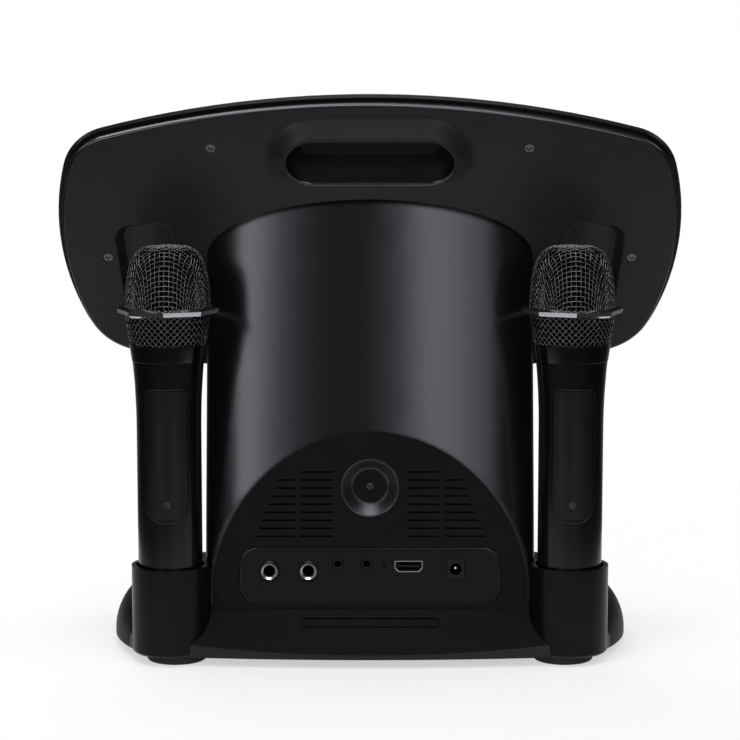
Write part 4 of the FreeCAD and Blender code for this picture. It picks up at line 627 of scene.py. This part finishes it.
def head_outline(inset):
    """Outline of the head, moved inwards: four wide arcs joined by corner arcs, right half first."""
    side = (HEAD_ARCS["side"] - HEAD_ARCS["side_radius"], HEAD_ARCS["side_y"])
    right = []
    turns = {}
    for name, sign, apex, wide_radius, corner_radius in HEAD_ENDS:
        wide = (0, sign * (apex - wide_radius))
        first = wide_radius - corner_radius
        second = HEAD_ARCS["side_radius"] - corner_radius
        gap = math.dist(wide, side)
        along = (first ** 2 - second ** 2 + gap ** 2) / (2 * gap)
        off = math.sqrt(first ** 2 - along ** 2)
        ahead = ((side[0] - wide[0]) / gap, (side[1] - wide[1]) / gap)
        options = [(wide[0] + ahead[0] * along - ahead[1] * off * flip,
                    wide[1] + ahead[1] * along + ahead[0] * off * flip) for flip in (-1, 1)]
        corner = max(options)
        to_wide = math.atan2(corner[1] - wide[1], corner[0] - wide[0])
        to_side = math.atan2(corner[1] - side[1], corner[0] - side[0])
        turns[name] = (wide, wide_radius, corner, corner_radius, to_wide, to_side)
    wide, wide_radius, corner, corner_radius, to_wide, to_side = turns["upper"]
    right += arc_points(wide, wide_radius - inset, math.pi / 2, to_wide, WIDE_STEPS)
    right += arc_points(corner, corner_radius - inset, to_wide, to_side, CORNER_STEPS)
    upper_end = to_side
    wide, wide_radius, corner, corner_radius, to_wide, to_side = turns["lower"]
    right += arc_points(side, HEAD_ARCS["side_radius"] - inset, upper_end, to_side, WIDE_STEPS)
    right += arc_points(corner, corner_radius - inset, to_side, to_wide, CORNER_STEPS)
    right += arc_points(wide, wide_radius - inset, to_wide, -math.pi / 2, WIDE_STEPS)
    bottom = [(0, -HEAD_ENDS[1][2] + inset)]
    left = [(-x, y) for x, y in reversed(right[1:])]
    return right + bottom + left


def slot_gap(x, y, half, low, high):
    """Signed distance from the edge of a round-ended slot, less than 0 inside."""
    radius = (high - low) / 2
    straight = half - radius
    return math.hypot(max(0.0, abs(x) - straight), y - (low + high) / 2) - radius


def slot_ring(half, low, high, grow, count):
    """Points round a slot at a distance from its edge."""
    radius = (high - low) / 2 + grow
    straight = half - (high - low) / 2
    middle = (low + high) / 2
    found = []
    whole = 4 * straight + 2 * math.pi * radius
    for step in range(count):
        run = whole * step / count
        if run < 2 * straight:
            found.append((straight - run, middle + radius))
        elif run < 2 * straight + math.pi * radius:
            angle = math.pi / 2 + (run - 2 * straight) / radius
            found.append((-straight + radius * math.cos(angle), middle + radius * math.sin(angle)))
        elif run < 4 * straight + math.pi * radius:
            found.append((-straight + run - 2 * straight - math.pi * radius, middle - radius))
        else:
            angle = -math.pi / 2 + (run - 4 * straight - math.pi * radius) / radius
            found.append((straight + radius * math.cos(angle), middle + radius * math.sin(angle)))
    return found


def pocket_slot(share):
    """Slot at a share of the way down the pocket's sides."""
    half, low, high = POCKET
    end, lower, upper = POCKET_SLOPES
    return half - end * share, low + lower * share, high - upper * share


def pocket_share(x, y):
    """Share of the way down the pocket at a place inside its rim."""
    if slot_gap(x, y, *pocket_slot(0)) >= 0:
        return 0.0
    if slot_gap(x, y, *pocket_slot(1)) <= 0:
        return 1.0
    low, high = 0.0, 1.0
    for _ in range(24):
        middle = (low + high) / 2
        if slot_gap(x, y, *pocket_slot(middle)) < 0:
            low = middle
        else:
            high = middle
    return low


def scoop_place(x, y):
    """Place along and across a scoop, from the middle of its upper end."""
    right = abs(x) - SCOOP_PLACE[0]
    up = y - SCOOP_PLACE[1]
    along = -right * math.sin(SCOOP_SPLAY) - up * math.cos(SCOOP_SPLAY)
    across = right * math.cos(SCOOP_SPLAY) - up * math.sin(SCOOP_SPLAY)
    return along, across


def soft_least(first, second, reach):
    """Lesser of two heights, with the crease between them rounded."""
    mix = max(0.0, reach - abs(first - second)) / reach
    return min(first, second) - mix * mix * reach / 4


def scoop_gap(along, across):
    """Signed distance from the edge of a scoop, less than 0 inside, from its middle."""
    out = (abs(along) - SCOOP_LENGTH / 2 + SCOOP_CORNER, abs(across) - SCOOP_HALF + SCOOP_CORNER)
    return math.hypot(max(0.0, out[0]), max(0.0, out[1])) + min(0.0, max(out)) - SCOOP_CORNER


def scoop_ring(grow):
    """Points round a scoop at a distance from its edge, from its middle."""
    corner = SCOOP_CORNER + grow
    ends = (SCOOP_LENGTH / 2 - SCOOP_CORNER, SCOOP_HALF - SCOOP_CORNER)
    found = []
    for quarter in range(4):
        turn = math.pi / 2 * quarter
        long, wide = ends if quarter % 2 == 0 else ends[::-1]
        local = arc_points((long, wide), corner, 0, math.pi / 2, 12)
        local += [(long - 2 * long * step / 24, wide + corner) for step in range(24)]
        for x, y in local:
            found.append((x * math.cos(turn) - y * math.sin(turn), x * math.sin(turn) + y * math.cos(turn)))
    return found


def scoop_depth(x, y):
    """Depth of the scoop behind a microphone head at a place on the cover."""
    along, across = scoop_place(x, y)
    edge = scoop_gap(along - SCOOP_LENGTH / 2, across)
    side = -edge * SCOOP_DEPTH / SCOOP_SIDE
    share = max(0.0, (across + SCOOP_HALF) / (2 * SCOOP_HALF - SCOOP_SIDE))
    floor = SCOOP_DEPTH * share * share
    return -soft_least(-soft_least(side, floor, SCOOP_FOOT_ROUND), 0.0, SCOOP_EDGE_ROUND)


def head_depth(x, y):
    """Depth of the cover's skin behind its flat back face."""
    for screw_x, screw_y in HEAD_SCREWS:
        if math.hypot(abs(x) - screw_x, y - screw_y) < SCREW_WELL:
            return SCREW_SINK
    away = slot_gap(x, y, *POCKET)
    if away < HOOD_REACH:
        rise = eased((y - POCKET[1] + HOOD_START) / (POCKET[2] - POCKET[1] + HOOD_START))
        outside = -HOOD_HEIGHT * rise * (1 - eased((away - RIM_ROUND) / HOOD_REACH))
        inside = POCKET_DEPTH * pocket_share(x, y)
        return outside + (inside - outside) * eased((RIM_ROUND - away) / (2 * RIM_ROUND))
    return max(0.0, scoop_depth(x, y))


def head_spots():
    """Places on the cover where its height changes, close together where it changes fast."""
    spots = []
    for grow in HOOD_RINGS:
        spots += slot_ring(*POCKET, grow, 220)
    for share in POCKET_RINGS:
        spots += [spot for spot in slot_ring(*pocket_slot(share), 0, 200) if slot_gap(*spot, *POCKET) < -1.5]
    for shrink in FLOOR_RINGS:
        spots += slot_ring(*pocket_slot(1), shrink, 160)
    for sign in (-1, 1):
        places = []
        for grow in SCOOP_RINGS:
            places += scoop_ring(grow)
        for row in range(-23, 24):
            for column in range(-9, 9):
                spot = (row * SCOOP_GRID, column * SCOOP_GRID)
                if scoop_gap(*spot) < SCOOP_GRID_EDGE:
                    places.append(spot)
        for along, across in places:
            along += SCOOP_LENGTH / 2
            right = -along * math.sin(SCOOP_SPLAY) + across * math.cos(SCOOP_SPLAY)
            up = -along * math.cos(SCOOP_SPLAY) - across * math.sin(SCOOP_SPLAY)
            spots.append((sign * (SCOOP_PLACE[0] + right), SCOOP_PLACE[1] + up))
        for screw_x, screw_y in HEAD_SCREWS:
            for grow in SCREW_RINGS:
                spots += arc_points((sign * screw_x, screw_y), SCREW_WELL + grow, 0, 2 * math.pi, 24)
    return spots


def make_head_skin():
    """Moulded skin of the cover, in place of its plain solid."""
    mesh = bmesh.new()
    rings = []
    levels = [(0.0, COVER_THICK)]
    for step in range(COVER_ROUND_STEPS + 1):
        turn = math.pi / 2 * step / COVER_ROUND_STEPS
        levels.append((COVER_ROUND * (1 - math.cos(turn)), COVER_ROUND * (1 - math.sin(turn))))
    for inset, depth in levels:
        ring = [mesh.verts.new(head_point(x, y, depth)) for x, y in head_outline(COVER_INSET + inset)]
        rings.append(ring)
    for lower, upper in zip(rings, rings[1:]):
        for step in range(len(lower)):
            after = (step + 1) % len(lower)
            mesh.faces.new([lower[step], lower[after], upper[after], upper[step]])
    edge = head_outline(COVER_INSET + COVER_ROUND)
    spots = [Vector(spot) for spot in edge + head_spots()]
    loop = list(range(len(edge)))
    flat = delaunay_2d_cdt(spots, [], [loop], 1, 0.005)
    corners = []
    for place, origin in zip(flat[0], flat[3]):
        if origin and origin[0] < len(edge):
            corners.append(rings[-1][origin[0]])
        else:
            corners.append(mesh.verts.new(head_point(place.x, place.y, head_depth(place.x, place.y))))
    for face in flat[2]:
        mesh.faces.new([corners[index] for index in face])
    bmesh.ops.recalc_face_normals(mesh, faces=mesh.faces[:])
    skin = piece_from("head_back_skin", mesh, MATTE, "console")
    skin.data.materials.append(RIM)
    skin.data.materials.append(POCKET_PAINTED_SHADE)
    rim_faces = (len(rings) - 1) * len(edge)
    for face in skin.data.polygons[:rim_faces]:
        face.material_index = 1
    for face in skin.data.polygons[rim_faces:]:
        # Faces deep inside the handle pocket get the darker black as painted shade; faces round its rim get
        # the glossier rim finish.
        away = slot_gap(*head_place(face.center), *POCKET)
        if away < -RIM_ROUND:
            face.material_index = 2
        elif away < RIM_ROUND:
            face.material_index = 1
    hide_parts("head_back_cover")


make_head_skin()


# Marks on the front buttons

MARK_HALF = 1.9
MARK_THIN = 0.32
MARK_RING = 1.7
MARK_RING_HALF = 0.3
MARK_RING_START = 125
MARK_RING_SWEEP = 290
MARK_RING_STEPS = 20
MARK_STEM = (0.5, 2.4)
MARK_LEVELS = (-0.02, 0.05)
MARK_TOLERANCE = 0.02


def bar(half_width, low, high):
    """Corners of an upright bar."""
    return [(-half_width, low), (half_width, low), (half_width, high), (-half_width, high)]


def standby_shapes():
    """Open ring in short pieces and the stem in its gap."""
    shapes = []
    for step in range(MARK_RING_STEPS):
        first = math.radians(MARK_RING_START + MARK_RING_SWEEP * step / MARK_RING_STEPS)
        last = math.radians(MARK_RING_START + MARK_RING_SWEEP * (step + 1) / MARK_RING_STEPS)
        inner = MARK_RING - MARK_RING_HALF
        outer = MARK_RING + MARK_RING_HALF
        corners = ((inner, first), (outer, first), (outer, last), (inner, last))
        shapes.append([(reach * math.cos(angle), reach * math.sin(angle)) for reach, angle in corners])
    shapes.append(bar(MARK_THIN, *MARK_STEM))
    return shapes


def make_marks():
    """Thin printed minus, ring-and-bar and plus on the three front buttons."""
    out = Vector((0, -math.sqrt(0.5), math.sqrt(0.5)))
    up = Vector((0, math.sqrt(0.5), math.sqrt(0.5)))
    across = Vector((-1, 0, 0))
    minus = [bar(MARK_HALF, -MARK_THIN, MARK_THIN)]
    stems = [bar(MARK_THIN, sign * MARK_THIN, sign * MARK_HALF) for sign in (-1, 1)]
    marks = {"volume_down": minus, "power": standby_shapes(), "volume_up": minus + stems}
    for name, shapes in marks.items():
        points = [corner.co for corner in nodes[f"{name}_button"].data.vertices]
        top = max(point.dot(out) for point in points)
        face = [point for point in points if point.dot(out) > top - MARK_TOLERANCE * MM]
        middle = sum(face, Vector()) / len(face)
        mesh = bmesh.new()
        for shape in shapes:
            layers = []
            for lift in MARK_LEVELS:
                spots = [across * x + up * y + out * lift for x, y in shape]
                layers.append([mesh.verts.new(middle + spot * MM) for spot in spots])
            mesh.faces.new(layers[0])
            mesh.faces.new(layers[1])
            for step in range(4):
                after = (step + 1) % 4
                mesh.faces.new([layers[0][step], layers[0][after], layers[1][after], layers[1][step]])
        bmesh.ops.remove_doubles(mesh, verts=mesh.verts[:], dist=0.000001)
        bmesh.ops.recalc_face_normals(mesh, faces=mesh.faces[:])
        piece_from(f"{name}_mark", mesh, PRINT, name, smooth=False)


make_marks()


# More than one finish on the column and on the base

def paint_faces(node, material, chosen):
    """Second or third finish on the faces of a node that a test picks by their corners and normal."""
    data = nodes[node].data
    data.materials.append(material)
    for face in data.polygons:
        corners = [data.vertices[index].co / MM for index in face.vertices]
        if chosen(corners, face.normal):
            face.material_index = len(data.materials) - 1


def on_port_face(corners, _):
    """Flat of the port face, and the floor of the screw well in it."""
    depths = (PORT_FACE, PORT_FACE - WELL_DEPTH)
    return any(all(abs(corner.y - depth) < FACE_TOLERANCE for corner in corners) for depth in depths)


def in_dish(corners, normal):
    """Sloping wall of the screw well."""
    near = all(math.hypot(corner.x, corner.z - WELL_Z) < WELL_REACH for corner in corners)
    floor = PORT_FACE - WELL_DEPTH - FACE_TOLERANCE
    return near and 0.05 < normal.y < 0.95 and all(corner.y > floor for corner in corners)


def on_panel_edge(corners, normal):
    """Rounded front edge of the port panel."""
    return 0.05 < normal.y < 0.98 and all(corner.y > PANEL_FRONT - PANEL_EDGE for corner in corners)


def on_lip(corners, normal):
    """Upright rear edge of the base."""
    return normal.y > 0.5 and abs(normal.z) < 0.3 and all(LIP_LOW < corner.z < LIP_HIGH for corner in corners)


FACE_TOLERANCE = 0.02
PORT_FACE = 50.0
WELL_Z = 91.4
WELL_REACH = 16.8
WELL_DEPTH = 5.5
PANEL_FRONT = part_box("port_panel")[1].y / MM
PANEL_EDGE = 0.7
LIP_LOW = 4.5
LIP_HIGH = 16.0
paint_faces("column_rear_shell", PORT, on_port_face)
paint_faces("column_rear_shell", DISH, in_dish)
paint_faces("port_panel", RIM, on_panel_edge)
paint_faces("base_cover", LIP, on_lip)


# Stage: pale floor, soft boxes, dark cards, white surroundings and the camera

def area_light(name, place, target, size, power):
    """Soft box that faces a point."""
    data = bpy.data.lights.new(name, "AREA")
    data.shape = "RECTANGLE"
    data.size, data.size_y = size
    data.energy = power
    item = bpy.data.objects.new(name, data)
    item.location = place
    item.rotation_euler = (Vector(target) - Vector(place)).to_track_quat("-Z", "Y").to_euler()
    bpy.context.scene.collection.objects.link(item)


def light_bank(name, first, levels):
    """Soft box of upright strips side by side round the rear, each with its own brightness."""
    width = 2 * BANK_REACH * math.tan(math.radians(BANK_STEP / 2))
    for index, level in enumerate(levels):
        turn = math.radians(first - BANK_STEP * index)
        place = (BANK_REACH * math.sin(turn), BANK_REACH * math.cos(turn), BANK_RISE)
        power = level * math.pi * width * BANK_HEIGHT
        area_light(f"{name}_{index}", place, MIDDLE, (width, BANK_HEIGHT), power)


def stage_mesh(name, mesh, material):
    """Stage object made from a mesh builder."""
    data = bpy.data.meshes.new(name)
    mesh.to_mesh(data)
    mesh.free()
    item = bpy.data.objects.new(name, data)
    bpy.context.scene.collection.objects.link(item)
    paint(item, material)
    return item


def seen_rays(tree):
    """Output that is 1 for the rays that show the background: the camera's, gloss and glass."""
    path = tree.nodes.new("ShaderNodeLightPath")
    value = path.outputs["Is Camera Ray"]
    for name in ("Is Glossy Ray", "Is Transmission Ray"):
        most = tree.nodes.new("ShaderNodeMath")
        most.operation = "MAXIMUM"
        tree.links.new(value, most.inputs[0])
        tree.links.new(path.outputs[name], most.inputs[1])
        value = most.outputs["Value"]
    return value


def make_floor():
    """Pale floor that fades to white away from the object."""
    mesh = bmesh.new()
    bmesh.ops.create_circle(mesh, cap_ends=True, segments=96, radius=FLOOR_RADIUS)
    material, tree, shader, place = new_material("floor_pale")
    cloud = noise(tree, place, 2.0)
    tree.links.new(blended(tree, cloud, (0.86, 0.86, 0.86), (0.9, 0.9, 0.9)), shader.inputs["Base Color"])
    shader.inputs["Roughness"].default_value = 0.9
    shader.inputs["Specular IOR Level"].default_value = 0.1
    glow = tree.nodes.new("ShaderNodeEmission")
    mixer = tree.nodes.new("ShaderNodeMixShader")
    length = tree.nodes.new("ShaderNodeVectorMath")
    length.operation = "LENGTH"
    fade = tree.nodes.new("ShaderNodeMapRange")
    fade.interpolation_type = "SMOOTHSTEP"
    fade.inputs["From Min"].default_value = FLOOR_FADE_START
    fade.inputs["From Max"].default_value = FLOOR_FADE_END
    fade.inputs["To Min"].default_value = FLOOR_GLOW
    tree.links.new(place, length.inputs[0])
    tree.links.new(length.outputs["Value"], fade.inputs["Value"])
    shown = tree.nodes.new("ShaderNodeMath")
    shown.operation = "MULTIPLY"
    tree.links.new(fade.outputs["Result"], shown.inputs[0])
    tree.links.new(seen_rays(tree), shown.inputs[1])
    tree.links.new(shown.outputs["Value"], mixer.inputs["Fac"])
    tree.links.new(shader.outputs["BSDF"], mixer.inputs[1])
    tree.links.new(glow.outputs["Emission"], mixer.inputs[2])
    tree.links.new(mixer.outputs["Shader"], tree.nodes["Material Output"].inputs["Surface"])
    stage_mesh("floor", mesh, material)


def make_cards():
    """Dark cards on the far floor and round the object, lighter ahead and behind, which only gloss shows."""
    mesh = bmesh.new()
    segments = 48
    rings = []
    for reach, height in ((CARD_START, CARD_LIFT), (CARD_REACH, CARD_LIFT), (CARD_REACH, CARD_TOP)):
        ring = []
        for step in range(segments):
            angle = 2 * math.pi * step / segments
            ring.append(mesh.verts.new((reach * math.cos(angle), reach * math.sin(angle), height)))
        rings.append(ring)
    for lower, upper in zip(rings, rings[1:]):
        for step in range(segments):
            after = (step + 1) % segments
            mesh.faces.new([lower[step], lower[after], upper[after], upper[step]])
    material, tree, shader, place = new_material("card_black")
    split = tree.nodes.new("ShaderNodeSeparateXYZ")
    ray = tree.nodes.new("ShaderNodeVectorMath")
    ray.operation = "NORMALIZE"
    tree.links.new(place, ray.inputs[0])
    tree.links.new(ray.outputs["Vector"], split.inputs["Vector"])
    ahead = ranged(tree, split.outputs["Y"], 1.0, 0.0, *AHEAD_SPAN)
    behind = ranged(tree, split.outputs["Y"], 0.0, 1.0, *BEHIND_SPAN)
    front = blended(tree, ahead, (0.0, 0.0, 0.0), FRONT_GLOW)
    tree.links.new(blended(tree, behind, front, CARD_GLOW), shader.inputs["Emission Color"])
    shader.inputs["Emission Strength"].default_value = 1.0
    shader.inputs["Base Color"].default_value = (0.005, 0.005, 0.005, 1)
    shader.inputs["Roughness"].default_value = 0.9
    card = stage_mesh("dark_cards", mesh, material)
    card.visible_camera = False
    card.visible_diffuse = False
    card.visible_shadow = False
    card.visible_transmission = False


def make_world():
    """White for what the camera, gloss and glass see; a softer grey for the light itself."""
    world = bpy.data.worlds.new("studio")
    world.use_nodes = True
    tree = world.node_tree
    seen = tree.nodes["Background"]
    seen.inputs["Color"].default_value = (1, 1, 1, 1)
    seen.inputs["Strength"].default_value = 1.0
    fill = tree.nodes.new("ShaderNodeBackground")
    fill.inputs["Color"].default_value = (1, 1, 1, 1)
    fill.inputs["Strength"].default_value = WORLD_FILL
    mixer = tree.nodes.new("ShaderNodeMixShader")
    tree.links.new(seen_rays(tree), mixer.inputs["Fac"])
    tree.links.new(fill.outputs["Background"], mixer.inputs[1])
    tree.links.new(seen.outputs["Background"], mixer.inputs[2])
    tree.links.new(mixer.outputs["Shader"], tree.nodes["World Output"].inputs["Surface"])
    bpy.context.scene.world = world


def make_camera():
    """Camera behind the console at the photograph's height and distance."""
    data = bpy.data.cameras.new("camera")
    data.sensor_width = SENSOR_WIDTH
    data.lens = SENSOR_WIDTH * CAMERA_FOCAL / PICTURE_WIDTH
    item = bpy.data.objects.new("camera", data)
    item.location = CAMERA_PLACE
    item.rotation_euler = (math.radians(90.0 - CAMERA_PITCH), 0, math.pi)
    bpy.context.scene.collection.objects.link(item)
    bpy.context.scene.camera = item


CAMERA_PLACE = (0.0, 1.2434, 0.3067)
CAMERA_PITCH = 7.288
CAMERA_FOCAL = 2294.8
SENSOR_WIDTH = 36.0
PICTURE_WIDTH = 740.0
MIDDLE = (0, 0.02, 0.15)
BANK_REACH = 1.85
BANK_STEP = 5.0
BANK_RISE = 0.75
BANK_HEIGHT = 1.3
CARD_START = 0.36
CARD_REACH = 2.7
CARD_TOP = 5.0
CARD_LIFT = 0.002
CARD_GLOW = (0.045, 0.045, 0.048)
FRONT_GLOW = (0.2, 0.2, 0.21)
AHEAD_SPAN = (-0.8, -0.45)
BEHIND_SPAN = (0.4, 0.75)
FLOOR_GLOW = 0.55
FLOOR_RADIUS = 8.0
FLOOR_FADE_START = 0.1
FLOOR_FADE_END = 0.6
WORLD_FILL = 0.35

make_floor()
make_cards()
make_world()
make_camera()
light_bank("left_box", 37.5, (4.8, 4.5, 3.0, 1.4, 0.5, 0.1))
light_bank("right_box", -6.5, (0.5, 3.9, 3.4, 2.4, 1.8, 1.5))
area_light("top_box", (0, 0.5, 1.9), MIDDLE, (1.2, 0.9), 16)
area_light("front_box", (0.35, -1.3, 1.7), MIDDLE, (1.3, 0.8), 14)
for sign in (-1, 1):
    area_light("side_box", (1.5 * sign, -0.5, 1.4), MIDDLE, (0.9, 0.7), 5)
bpy.context.scene.view_settings.view_transform = "Standard"
